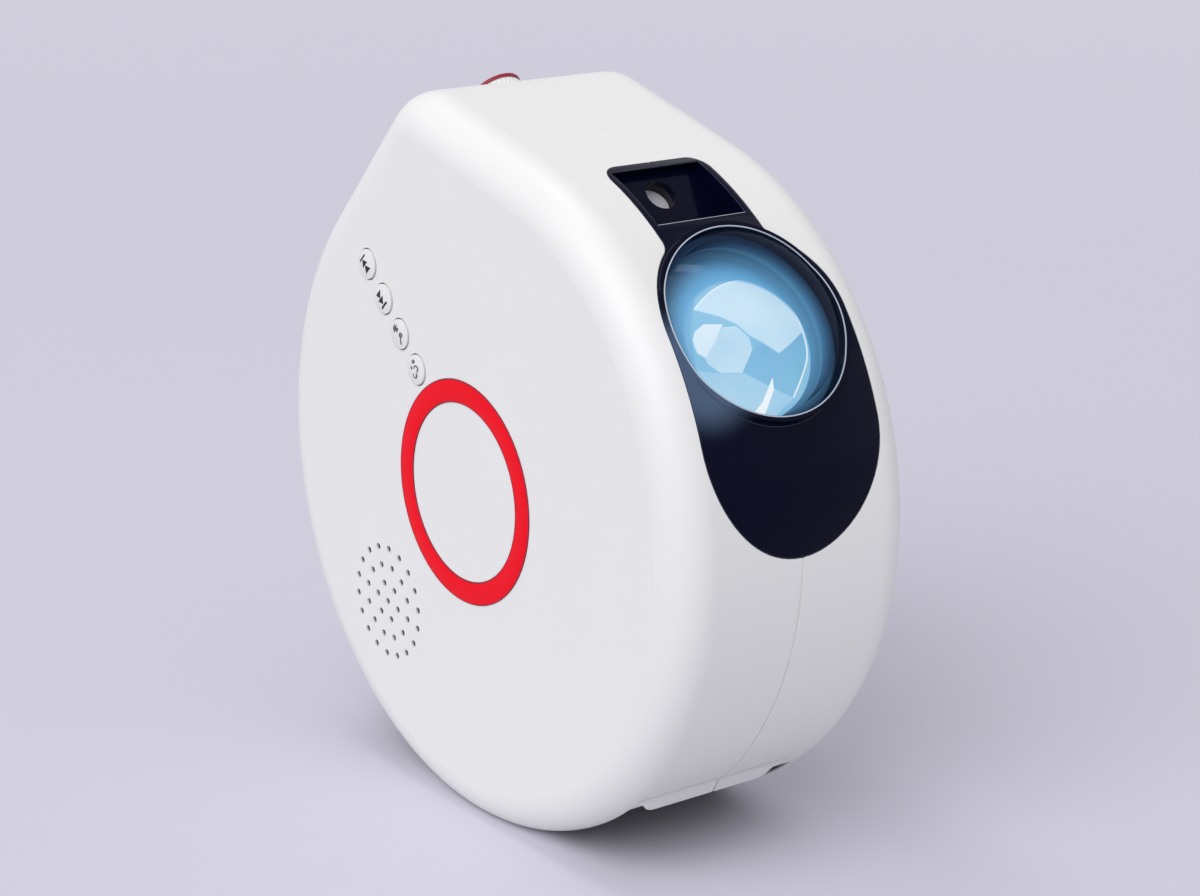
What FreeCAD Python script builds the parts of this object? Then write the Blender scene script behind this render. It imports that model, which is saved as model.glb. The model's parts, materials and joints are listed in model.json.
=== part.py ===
import FreeCAD, Part
import math
import os
import re

import Sketcher

# Desk-top star and nebula projector: a drum-shaped case in two halves, with a glossy black
# keyhole panel at the front, a clear dome over the lamp optics, a laser window above it,
# four push buttons, a speaker and an accent ring on the left face, and a volume knob behind.
#
# Frame: X across the case (the seam is the plane X = 0, the button side is -X), the front is
# -Y, Z is up, and the origin is on the surface that the projector stands on, under the axis
# of the drum. An angle round the drum is measured from +Y (the back) towards +Z (the top).

SIZES = {
    # case
    "body_radius": 77.0,
    "half_width": 31.25,
    "wall": 2.4,
    "edge_round": 9.0,
    "corner_round": 15.2,
    "top_normal": 105.0,
    "back_normal": 43.6,
    "foot_cut": 1.5,
    "shell_lift": 0.8,
    "seam_groove": 0.25,
    "fit_gap": 0.15,
    "move_gap": 0.3,
    "beyond": 5.0,
    "grid_pitch": 1.0,
    # front panel, its angles round the drum
    "lens_angle": 143.0,
    "panel_margin": 1.9,
    "panel_drop": 23.5,
    "neck_half_width": 13.0,
    "neck_rise": 43.1,
    "neck_corner": 4.0,
    "neck_blend": 4.0,
    "panel_depth": 23.0,
    "panel_reach": 40.0,
    "flange_step": 0.8,
    "flange_thick": 1.4,
    "flange_lap": 2.0,
    # laser well in the neck of the panel
    "laser_angle": 135.0,
    "well_half_width": 11.4,
    "well_low": 25.1,
    "well_high": 31.9,
    "well_depth": 9.3,
    "well_wall": 1.6,
    "laser_shift": 26.5,
    "laser_mouth": 3.5,
    "laser_sink": 4.0,
    "laser_radius": 4.0,
    "laser_length": 19.0,
    "holder_wall": 1.9,
    "grating_thick": 1.0,
    "bore_play": 0.1,
    # dome over the lamp
    "dome_radius": 21.0,
    "dome_sphere": 27.0,
    "dome_sink": 1.0,
    "dome_skirt": 3.6,
    "dome_lip_thick": 1.5,
    "dome_thick": 1.8,
    "dome_lip": 1.6,
    "bezel_wall": 1.4,
    "bezel_stand": 0.4,
    "retainer_thick": 1.2,
    # lamp optics, each piece placed behind the one in front of it
    "barrel_radius": 21.5,
    "barrel_flange": 1.5,
    "cone_mouth": 20.2,
    "pattern_radius": 18.4,
    "pattern_thick": 2.5,
    "pattern_depth": 4.6,
    "light_bore": 14.4,
    "wheel_drop": 2.6,
    "wheel_thick": 3.4,
    "disc_thick": 1.6,
    "gear_module": 1.0,
    "wheel_teeth": 36,
    "pinion_teeth": 16,
    "tooth_pitch_width": 1.3,
    "addendum": 0.8,
    "dedendum": 1.2,
    "mesh_play": 0.1,
    "lamp_radius": 19.2,
    "condenser_radius": 15.2,
    "condenser_drop": 6.7,
    "condenser_rim": 1.5,
    "condenser_rise": 3.0,
    "led_board_radius": 15.0,
    "led_board_thick": 1.6,
    "lamp_depth": 14.7,
    "led_side": 3.2,
    "led_high": 0.9,
    "led_spread": 4.2,
    "sink_base": 3.0,
    "fin_high": 12.0,
    "fin_thick": 1.6,
    "fin_step": 4.8,
    # wheel motor
    "motor_radius": 6.0,
    "motor_length": 20.0,
    "motor_shaft": 1.0,
    "shaft_play": 0.05,
    "bracket_thick": 2.0,
    "bracket_half": 9.0,
    "collar_radius": 3.0,
    # accent ring on the left face
    "ring_outer": 25.0,
    "ring_inner": 20.0,
    "ring_sink": 1.2,
    "ring_stand": 0.15,
    # four push buttons on the left face
    "button_radius": 3.35,
    "button_pitch": 9.38,
    "button_first_y": 37.3,
    "button_first_z": 44.1,
    "button_line": 226.0,
    "button_stand": 0.4,
    "button_crown": 0.5,
    "button_travel": 0.8,
    "wing_half": 6.4,
    "wing_width": 5.0,
    "wing_thick": 1.3,
    "stem_radius": 1.5,
    "stem_length": 3.0,
    "switch_side": 6.0,
    "switch_high": 3.5,
    "switch_tip": 0.4,
    "board_thick": 1.6,
    "button_board_margin": 6.93,
    "button_board_wide": 16.0,
    # speaker behind its holes in the left face
    "speaker_y": 32.1,
    "speaker_z": -34.1,
    "speaker_radius": 14.8,
    "cone_face": 2.2,
    "cone_hollow": 0.6,
    "speaker_deep": 6.0,
    "speaker_rim": 1.6,
    "gasket_thick": 0.8,
    "magnet_radius": 8.0,
    "magnet_thick": 5.0,
    "cone_thick": 0.5,
    "cap_radius": 4.2,
    "hole_radius": 0.8,
    "hole_pitch": 4.28,
    # volume knob on the sloping back face
    "knob_radius": 6.0,
    "knob_high": 5.6,
    "knob_x": 4.6,
    "knob_inset": 14.8,
    "knob_rim": 0.4,
    "knob_shaft": 2.0,
    "bush_radius": 3.4,
    "pot_side": 12.0,
    "pot_thick": 5.0,
    # power inlet at the back
    "inlet_angle": 340.0,
    "inlet_x": 13.0,
    "inlet_radius": 4.6,
    "inlet_face": 6.2,
    "inlet_sink": 1.0,
    "inlet_length": 13.0,
    "inlet_bore": 2.8,
    "inlet_pin": 1.0,
    "inlet_deep": 9.5,
    "nut_thick": 2.0,
    "nut_drop": 0.7,
    "nut_flats": 12.0,
    # main circuit board on the right half
    "board_low_y": -6.0,
    "board_low_z": -46.0,
    "board_long": 50.0,
    "board_high": 46.0,
    "board_stand": 5.0,
    "board_inset": 4.0,
    # screws and their posts
    "post_radius": 3.6,
    "pilot_radius": 1.5,
    "screw_radius": 1.45,
    "screw_clear": 1.65,
    "head_radius": 2.7,
    "head_high": 2.0,
    "head_clear": 3.0,
    "head_seat": 6.0,
    "slot_deep": 0.8,
    "slot_wide": 0.7,
    "screw_reach": 12.0,
    "small_screw": 1.1,
    "button_post": 2.5,
    "board_post": 2.7,
    "small_head": 2.1,
    "small_head_high": 1.4,
    # sole and front lip
    "sole_half_width": 22.2,
    "sole_rise": 15.7,
    "sole_inset": 0.3,
    "lip_angle": 227.5,
    "lip_start": 0.6,
    "lip_length": 5.6,
    "lip_root": 2.0,
    "lip_lean": 30.0,
    "lip_thick": 1.1,
    "lip_half_left": 22.6,
    "lip_tip_left": 15.8,
    "lip_half_right": 18.0,
    "lip_tip_right": 12.0,
    "lip_groove": 0.7,
}

# Posts that hold the two halves together: angle round the drum, and depth under its rim in
# steps of the grid.
POSTS = ((20, 11), (76, 8), (200, 11), (247, 13), (293, 13), (325, 11))
# Rings of the speaker's holes: how many holes, and the angle of the first one.
HOLE_RINGS = ((6, 48), (12, 16), (18, 6))
# Parts on the main board, in steps of the grid: offset along and up the board, size along
# and up, height.
BOARD_PARTS = ((8, 8, 12, 10, 2.0), (26, 10, 8, 8, 1.2), (40, 8, 6, 10, 3.0), (12, 26, 6, 6, 4.5),
               (24, 26, 14, 8, 2.4), (42, 26, 7, 7, 5.0))
# The push buttons, from the one nearest the rim to the one nearest the accent ring.
BUTTON_NAMES = ("button_previous", "button_next", "button_light", "button_rotate")

doc = FreeCAD.newDocument("projector")
sheet = doc.addObject("Spreadsheet::Sheet", "Sizes")
pieces = {}


def fill_sheet():
    """Write every driving dimension into the sheet, one row each."""
    for row, (alias, number) in enumerate(SIZES.items(), start=1):
        sheet.set(f"A{row}", alias)
        sheet.set(f"B{row}", str(number))
        sheet.setAlias(f"B{row}", alias)
    doc.recompute()


def bind(words):
    """Turn plain size names in an expression into references to the sheet."""
    return re.sub(r"[a-z_]+", lambda found: f"Sizes.{found[0]}" if found[0] in SIZES else found[0],
                  str(words))


def size(name):
    """Read one size from the sheet."""
    return float(sheet.get(name))


# ---- places ---------------------------------------------------------------------------------

def place(x="0", y="0", z="0", axis="1;0;0", turn="0"):
    """A place given from the drum's axis, turned about one axis."""
    return bind(f"placement(vector({x};{y};centre_height + ({z}));"
                f"rotation(vector({axis});{turn}))")


def radial(angle, out="0", x="0", shift="0"):
    """A place whose own Z points out of the drum at an angle; shift runs towards the top."""
    spot_y = f"({out}) * cos({angle}) + ({shift}) * sin({angle})"
    spot_z = f"({out}) * sin({angle}) - ({shift}) * cos({angle})"
    return place(x, spot_y, spot_z, turn=f"({angle}) - 90")


def across(x, y="0", z="0"):
    """A place whose own Z runs along +X."""
    return place(x, y, z, axis="0;1;0", turn="90")


# ---- solids and booleans --------------------------------------------------------------------

def solid(kind, name, where, **sizes):
    """A Part primitive with its sizes and place bound to the sheet."""
    item = doc.addObject(f"Part::{kind}", name)
    for key, words in sizes.items():
        item.setExpression(key, bind(words))
    item.setExpression("Placement", where)
    return item


def rod(name, where, radius, length):
    """A round rod along its own Z."""
    return solid("Cylinder", name, where, Radius=radius, Height=length)


def rod_across(name, radius, x0, x1, y="0", z="0"):
    """A round rod along X between two stations."""
    return rod(name, across(x0, y, z), radius, f"({x1}) - ({x0})")


def rod_out(name, radius, low, high, angle="lens_angle", x="0", shift="0"):
    """A round rod that runs out of the drum between two distances from its axis."""
    return rod(name, radial(angle, low, x, shift), radius, f"({high}) - ({low})")


def block(name, x0, x1, y0, y1, z0, z1):
    """A block between stations counted from the drum's axis."""
    return solid("Box", name, place(x0, y0, z0), Length=f"({x1}) - ({x0})",
                 Width=f"({y1}) - ({y0})", Height=f"({z1}) - ({z0})")


def block_out(name, half, low, high, shift0, shift1, angle="lens_angle"):
    """A block, centred on X = 0, in a frame whose Z points out of the drum."""
    return solid("Box", name, radial(angle, low, f"-({half})", shift0), Length=f"2 * ({half})",
                 Width=f"({shift1}) - ({shift0})", Height=f"({high}) - ({low})")


def fuse(name, *items):
    """Join solids."""
    if len(items) == 1:
        return items[0]
    joined = doc.addObject("Part::MultiFuse", name)
    joined.Shapes = list(items)
    return joined


def cut(name, base, *tools):
    """Cut tools out of a solid."""
    made = doc.addObject("Part::Cut", name)
    made.Base = base
    made.Tool = fuse(f"{name}_tools", *tools)
    return made


def common(name, *items):
    """Keep what solids share."""
    made = doc.addObject("Part::MultiCommon", name)
    made.Shapes = list(items)
    return made


def group(name, *items):
    """Several separate solids in one piece."""
    made = doc.addObject("Part::Compound", name)
    made.Links = list(items)
    return made


def tube(name, where_low, outer, inner, length):
    """A tube along its own Z."""
    return cut(name, rod(f"{name}_outer", where_low, outer, length),
               rod(f"{name}_inner", where_low, inner, length))


def piece(name, item):
    """Name a finished piece, so that it is checked and written."""
    item.Label = name
    pieces[name] = item
    return item


# ---- sketches and bodies ----------------------------------------------------------------------

def new_body(name, where):
    """A PartDesign body with a bound place."""
    body = doc.addObject("PartDesign::Body", name)
    body.setExpression("Placement", where)
    return body


def new_sketch(body, role, name):
    """A sketch on one of the body's own origin planes."""
    sketch = body.newObject("Sketcher::SketchObject", name)
    plane = next(item for item in body.Origin.OriginFeatures if item.Role == role)
    sketch.AttachmentSupport = [(plane, "")]
    sketch.MapMode = "FlatFace"
    return sketch


def bind_constraint(sketch, name, constraint, words):
    """Add a dimension to a sketch and bind it to the sheet."""
    index = sketch.addConstraint(constraint)
    sketch.renameConstraint(index, name)
    sketch.setExpression(f"Constraints.{name}", bind(words))


def number(words):
    """The number that an expression over the sizes gives, worked out in a spare cell."""
    sheet.set("D1", "=" + bind(words).replace("Sizes.", ""))
    sheet.recompute()
    return float(sheet.get("D1"))


def outline(sketch, points):
    """A closed outline of straight lines whose corners are bound to the sheet."""
    spots = [FreeCAD.Vector(number(run), number(rise), 0) for run, rise in points]
    for start, end in zip(spots, spots[1:] + spots[:1]):
        sketch.addGeometry(Part.LineSegment(start, end), False)
    for index, (run, rise) in enumerate(points):
        follower = (index + 1) % len(points)
        sketch.addConstraint(Sketcher.Constraint("Coincident", index, 2, follower, 1))
        spot = spots[index]
        if run == "0":
            sketch.addConstraint(Sketcher.Constraint("PointOnObject", index, 1, -2))
        else:
            bind_constraint(sketch, f"run_{index}",
                            Sketcher.Constraint("DistanceX", -1, 1, index, 1, spot.x), run)
        if rise == "0":
            sketch.addConstraint(Sketcher.Constraint("PointOnObject", index, 1, -1))
        else:
            bind_constraint(sketch, f"rise_{index}",
                            Sketcher.Constraint("DistanceY", -1, 1, index, 1, spot.y), rise)


def turned(name, where, points):
    """A body turned about its own Z from an outline of radius and height."""
    body = new_body(name, where)
    sketch = new_sketch(body, "XZ_Plane", f"{name}_half_section")
    outline(sketch, points)
    turn = body.newObject("PartDesign::Revolution", f"{name}_turn")
    turn.Profile = sketch
    turn.ReferenceAxis = (sketch, ["V_Axis"])
    turn.Angle = 360
    return body


def polar(radius, degrees):
    """A point of a sketch by radius and angle."""
    angle = math.radians(degrees)
    return FreeCAD.Vector(radius * math.cos(angle), radius * math.sin(angle), 0)


def arc(sketch, centre, radius, start, end):
    """Add an arc that runs anticlockwise between two angles in degrees."""
    ring = Part.Circle(centre, FreeCAD.Vector(0, 0, 1), radius)
    sketch.addGeometry(Part.ArcOfCircle(ring, math.radians(start), math.radians(end)), False)


def line(sketch, start, end):
    """Add a straight line."""
    sketch.addGeometry(Part.LineSegment(start, end), False)


# ---- case -----------------------------------------------------------------------------------

def case_form(name, side, inset):
    """One half of the drum with its sloping back face and flat top, drawn in by an inset."""
    body = new_body(name, place())
    sketch = new_sketch(body, "YZ_Plane", f"{name}_outline")
    radius = number(f"body_radius - ({inset})")
    corner = number(f"corner_round - ({inset})")
    top, back = size("top_normal"), size("back_normal")
    middle = FreeCAD.Vector(0, 0, 0)
    bend = polar((radius - corner) / math.cos(math.radians((top - back) / 2)), (top + back) / 2)
    arc(sketch, middle, radius, top, back + 360)
    line(sketch, polar(radius, back), bend + polar(corner, back))
    arc(sketch, bend, corner, back, top)
    line(sketch, bend + polar(corner, top), polar(radius, top))
    sketch.addConstraint(Sketcher.Constraint("Coincident", 0, 3, -1, 1))
    for first, second in ((0, 1), (1, 2), (2, 3), (3, 0)):
        sketch.addConstraint(Sketcher.Constraint("Tangent", first, 2, second, 1))
    bind_constraint(sketch, "drum", Sketcher.Constraint("Radius", 0, radius),
                    f"body_radius - ({inset})")
    bind_constraint(sketch, "corner", Sketcher.Constraint("Radius", 2, corner),
                    f"corner_round - ({inset})")
    bind_constraint(sketch, "back_face",
                    Sketcher.Constraint("Angle", 1, math.radians(back + 90)),
                    "(back_normal + 90) * 1 deg")
    bind_constraint(sketch, "top_face",
                    Sketcher.Constraint("Angle", 3, math.radians(top + 90)),
                    "(top_normal + 90) * 1 deg")
    pad = body.newObject("PartDesign::Pad", f"{name}_depth")
    pad.Profile = sketch
    pad.setExpression("Length", bind(f"half_width - ({inset})"))
    pad.Reversed = side < 0
    body.recompute(True)
    face_x = side * number(f"half_width - ({inset})")
    rim = [f"Edge{index}" for index, edge in enumerate(pad.Shape.Edges, start=1)
           if abs(edge.BoundBox.XMin - face_x) < 0.01 and abs(edge.BoundBox.XMax - face_x) < 0.01]
    rounding = body.newObject("PartDesign::Fillet", f"{name}_rounding")
    rounding.Base = (pad, rim)
    rounding.setExpression("Radius", bind(f"edge_round - ({inset})"))
    return body


def panel_prism(name, grow):
    """The keyhole outline of the front panel, as a prism that runs out through the rim."""
    body = new_body(name, radial("lens_angle", "panel_low"))
    sketch = new_sketch(body, "XY_Plane", f"{name}_outline")
    wide, narrow = number(f"panel_half_width + {grow}"), number(f"neck_half_width + {grow}")
    rise, corner = number(f"neck_rise + {grow}"), number(f"neck_corner + {grow}")
    blend, drop = number(f"neck_blend - {grow}"), size("panel_drop")
    blend_y = math.sqrt((wide + blend) ** 2 - (narrow + blend) ** 2)
    meet = math.degrees(math.atan2(blend_y, narrow + blend))
    spot = FreeCAD.Vector
    arc(sketch, spot(0, -drop, 0), wide, 180, 360)
    line(sketch, spot(wide, -drop, 0), spot(wide, 0, 0))
    arc(sketch, spot(0, 0, 0), wide, 0, meet)
    arc(sketch, spot(narrow + blend, blend_y, 0), blend, 180, 180 + meet)
    line(sketch, spot(narrow, blend_y, 0), spot(narrow, rise - corner, 0))
    arc(sketch, spot(narrow - corner, rise - corner, 0), corner, 0, 90)
    line(sketch, spot(narrow - corner, rise, 0), spot(corner - narrow, rise, 0))
    arc(sketch, spot(corner - narrow, rise - corner, 0), corner, 90, 180)
    line(sketch, spot(-narrow, rise - corner, 0), spot(-narrow, blend_y, 0))
    arc(sketch, spot(-narrow - blend, blend_y, 0), blend, 360 - meet, 360)
    arc(sketch, spot(0, 0, 0), wide, 180 - meet, 180)
    line(sketch, spot(-wide, 0, 0), spot(-wide, -drop, 0))
    joins = ((0, 2, 1, 1), (1, 2, 2, 1), (2, 2, 3, 2), (3, 1, 4, 1), (4, 2, 5, 1), (5, 2, 6, 1),
             (6, 2, 7, 1), (7, 2, 8, 1), (8, 2, 9, 2), (9, 1, 10, 1), (10, 2, 11, 1), (11, 2, 0, 1))
    for join in joins:
        sketch.addConstraint(Sketcher.Constraint("Tangent", *join))
    sketch.addConstraint(Sketcher.Constraint("Coincident", 2, 3, -1, 1))
    sketch.addConstraint(Sketcher.Constraint("Coincident", 10, 3, -1, 1))
    sketch.addConstraint(Sketcher.Constraint("PointOnObject", 0, 3, -2))
    for upright in (1, 4, 8, 11):
        sketch.addConstraint(Sketcher.Constraint("Vertical", upright))
    sketch.addConstraint(Sketcher.Constraint("Horizontal", 6))
    bind_constraint(sketch, "wide", Sketcher.Constraint("Radius", 0, wide),
                    f"panel_half_width + {grow}")
    bind_constraint(sketch, "drop", Sketcher.Constraint("DistanceY", 0, 3, -1, 1, drop),
                    "panel_drop")
    bind_constraint(sketch, "narrow", Sketcher.Constraint("DistanceX", -1, 1, 4, 1, narrow),
                    f"neck_half_width + {grow}")
    bind_constraint(sketch, "narrow_left", Sketcher.Constraint("DistanceX", 8, 1, -1, 1, narrow),
                    f"neck_half_width + {grow}")
    bind_constraint(sketch, "rise", Sketcher.Constraint("DistanceY", -1, 1, 6, 1, rise),
                    f"neck_rise + {grow}")
    for index, name_of in ((3, "blend_right"), (9, "blend_left")):
        bind_constraint(sketch, name_of, Sketcher.Constraint("Radius", index, blend),
                        f"neck_blend - {grow}")
    for index, name_of in ((5, "corner_right"), (7, "corner_left")):
        bind_constraint(sketch, name_of, Sketcher.Constraint("Radius", index, corner),
                        f"neck_corner + {grow}")
    pad = body.newObject("PartDesign::Pad", f"{name}_depth")
    pad.Profile = sketch
    pad.setExpression("Length", bind("panel_reach"))
    return body


def rim_layer(name, outer, inner, half):
    """A round layer of the rim between two radii, centred on the seam."""
    return tube(name, across(f"-({half})"), outer, inner, f"2 * ({half})")


def front_lip(name, side):
    """One half of the small lip that stands off the rim above the front of the sole."""
    root_y = "(body_radius - lip_start) * cos(lip_angle)"
    root_z = "(body_radius - lip_start) * sin(lip_angle)"
    body = new_body(name, place("0", root_y, root_z, turn="lip_lean + 90"))
    sketch = new_sketch(body, "XY_Plane", f"{name}_outline")
    half, end = ("lip_half_right", "lip_tip_right") if side > 0 else ("lip_half_left", "lip_tip_left")
    wide, tip = side * size(half), side * size(end)
    top, bottom, waist = number("lip_root"), -size("lip_length"), -size("lip_root")
    spot = FreeCAD.Vector
    line(sketch, spot(0, top, 0), spot(wide, top, 0))
    line(sketch, spot(wide, top, 0), spot(wide, waist, 0))
    half_run, half_fall = abs(wide - tip) / 2, (waist - bottom) / 2
    swing = (half_run ** 2 + half_fall ** 2) / (2 * half_fall)
    share = math.degrees(math.asin(half_run / swing))
    upper = spot(wide, waist - swing, 0)
    lower = spot(tip, bottom + swing, 0)
    if side > 0:
        arc(sketch, upper, swing, 90, 90 + share)
        arc(sketch, lower, swing, 270, 270 + share)
        ends = ((2, 1, 2), (3, 2, 1))
    else:
        arc(sketch, upper, swing, 90 - share, 90)
        arc(sketch, lower, swing, 270 - share, 270)
        ends = ((2, 2, 1), (3, 1, 2))
    line(sketch, spot(tip, bottom, 0), spot(0, bottom, 0))
    line(sketch, spot(0, bottom, 0), spot(0, top, 0))
    (_, upper_start, upper_end), (_, lower_start, lower_end) = ends
    for join in ((0, 2, 1, 1), (1, 2, 2, upper_start), (4, 1, 3, lower_end), (4, 2, 5, 1),
                 (5, 2, 0, 1)):
        sketch.addConstraint(Sketcher.Constraint("Coincident", *join))
    sketch.addConstraint(Sketcher.Constraint("Tangent", 2, upper_end, 3, lower_start))
    sketch.addConstraint(Sketcher.Constraint("Equal", 2, 3))
    sketch.addConstraint(Sketcher.Constraint("PointOnObject", 5, 1, -2))
    sketch.addConstraint(Sketcher.Constraint("Vertical", 1))
    sketch.addConstraint(Sketcher.Constraint("Vertical", 5))
    sketch.addConstraint(Sketcher.Constraint("Horizontal", 0))
    sketch.addConstraint(Sketcher.Constraint("Horizontal", 4))
    sketch.addConstraint(Sketcher.Constraint("Vertical", 2, 3, 1, 2))
    bind_constraint(sketch, "top", Sketcher.Constraint("DistanceY", -1, 1, 0, 1, top), "lip_root")
    bind_constraint(sketch, "waist", Sketcher.Constraint("DistanceY", 1, 2, -1, 1, -waist),
                    "lip_root")
    bind_constraint(sketch, "bottom", Sketcher.Constraint("DistanceY", 4, 1, -1, 1, -bottom),
                    "lip_length")
    if side > 0:
        bind_constraint(sketch, "wide", Sketcher.Constraint("DistanceX", -1, 1, 0, 2, wide), half)
        bind_constraint(sketch, "tip", Sketcher.Constraint("DistanceX", -1, 1, 4, 1, tip), end)
    else:
        bind_constraint(sketch, "wide", Sketcher.Constraint("DistanceX", 0, 2, -1, 1, -wide), half)
        bind_constraint(sketch, "tip", Sketcher.Constraint("DistanceX", 4, 1, -1, 1, -tip), end)
    pad = body.newObject("PartDesign::Pad", f"{name}_depth")
    pad.Profile = sketch
    pad.setExpression("Length", bind("lip_thick"))
    pad.Reversed = True
    return body


def post_spot(angle, depth):
    """The place of one post, counted from the drum's axis."""
    out = f"(body_radius - {depth} * grid_pitch)"
    return f"{out} * cos({angle})", f"{out} * sin({angle})"


def half_case(name, side):
    """One half of the case: a hollow half drum with its openings, posts and lip."""
    form = case_form(f"{name}_form", side, "0")
    core = case_form(f"{name}_core", side, "wall")
    shell = cut(f"{name}_shell", form, core,
                block(f"{name}_sole_opening", "-sole_half_width - fit_gap",
                      "sole_half_width + fit_gap", "-body_radius", "body_radius",
                      "-body_radius - beyond", "sole_top + fit_gap"))
    face = f"{side} * (half_width - wall / 2)"
    low, high = (face, "0") if side < 0 else ("0", face)
    posts = [rod_across(f"{name}_post_{index}", "post_radius", low, high,
                        *post_spot(angle, depth)) for index, (angle, depth) in enumerate(POSTS)]
    body = fuse(f"{name}_posts", shell, *posts, front_lip(f"{name}_lip", side))
    tools = [panel_prism(f"{name}_panel_opening", "fit_gap"),
             block(f"{name}_flat_base", "-half_width - beyond", "half_width + beyond",
                   "-body_radius", "body_radius", "-body_radius - beyond",
                   "shell_lift - centre_height"),
             solid("Box", f"{name}_lip_groove",
                   radial("lip_angle", "body_radius - lip_groove", "-lip_half_left"),
                   Length="lip_half_left + lip_half_right", Width="lip_groove",
                   Height="beyond"),
             rod_out(f"{name}_knob_hole", "bush_radius + fit_gap", "body_radius - wall - beyond",
                     "body_radius + beyond", "back_normal", "knob_x", "knob_shift"),
             seam_cutter(f"{name}_seam", side)]
    for index, (angle, depth) in enumerate(POSTS):
        spot = post_spot(angle, depth)
        if side > 0:
            tools.append(rod_across(f"{name}_head_{index}", "head_clear", "head_seat",
                                    "half_width + beyond", *spot))
            tools.append(rod_across(f"{name}_clear_{index}", "screw_clear", "-beyond",
                                    "half_width", *spot))
        else:
            tools.append(rod_across(f"{name}_pilot_{index}", "pilot_radius",
                                    "-screw_reach - head_high", "beyond", *spot))
    return body, tools


def seam_cutter(name, side):
    """A thin slab that opens the fine groove along the seam, all round the rim."""
    slab = block(f"{name}_slab", "-seam_groove", "seam_groove", "-2 * body_radius",
                 "2 * body_radius", "-2 * body_radius", "2 * body_radius")
    return cut(name, slab, case_form(f"{name}_core", side, "seam_groove"),
               case_form(f"{name}_far_core", -side, "seam_groove"))


def left_shell():
    """The left half: holes for the buttons and the speaker, and the seat of the accent ring."""
    body, tools = half_case("left_shell", -1)
    posts = []
    for index in (0, 1):
        run = f"(button_board_long / 2 - 2 * stem_radius) * {2 * index - 1}"
        centre = ("button_first_y + 1.5 * button_pitch * cos(button_line)",
                  "button_first_z + 1.5 * button_pitch * sin(button_line)")
        posts.append(rod_across(f"button_board_post_{index}", "button_post",
                                "-half_width + wall / 2", "button_board_face",
                                f"{centre[0]} + {run} * cos(button_line)",
                                f"{centre[1]} + {run} * sin(button_line)"))
    body = fuse("left_shell_body", body, *posts)
    tools.append(tube("accent_ring_seat", across("-half_width - beyond"),
                      "ring_outer + fit_gap", "ring_inner - fit_gap", "ring_sink + beyond"))
    for index in range(len(BUTTON_NAMES)):
        tools.append(rod_across(f"button_hole_{index}", "button_radius + move_gap",
                                "-half_width - beyond", "-half_width + 2 * wall",
                                *button_spot(index)))
    tools += speaker_holes()
    return piece("left_shell", cut("left_shell_cut", body, *tools))


def speaker_holes():
    """The sound holes: one in the middle and three rings round it."""
    spots = [("speaker_y", "speaker_z")]
    for ring, (count, start) in enumerate(HOLE_RINGS, start=1):
        for index in range(count):
            angle = start + 360 / count * index
            spots.append((f"speaker_y - {ring} * hole_pitch * cos({angle})",
                          f"speaker_z + {ring} * hole_pitch * sin({angle})"))
    return [rod_across(f"speaker_hole_{index}", "hole_radius", "-half_width - beyond",
                       "-half_width + 2 * wall", *spot) for index, spot in enumerate(spots)]


def right_shell():
    """The right half: screw wells, the power inlet and the posts of the main board."""
    body, tools = half_case("right_shell", 1)
    posts = [rod_across(f"board_post_{index}", "board_post", "board_face + board_thick",
                        "half_width - wall / 2", *spot)
             for index, spot in enumerate(board_corners())]
    body = fuse("right_shell_body", body, *posts)
    tools.append(rod_out("inlet_hole", "inlet_radius + fit_gap", "body_radius - 2 * wall",
                         "body_radius + beyond", "inlet_angle", "inlet_x"))
    tools.append(rod_out("inlet_recess", "inlet_face + fit_gap", "body_radius - inlet_sink",
                         "body_radius + beyond", "inlet_angle", "inlet_x"))
    return piece("right_shell", cut("right_shell_cut", body, *tools))


# ---- front panel, dome and laser ----------------------------------------------------------------

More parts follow.
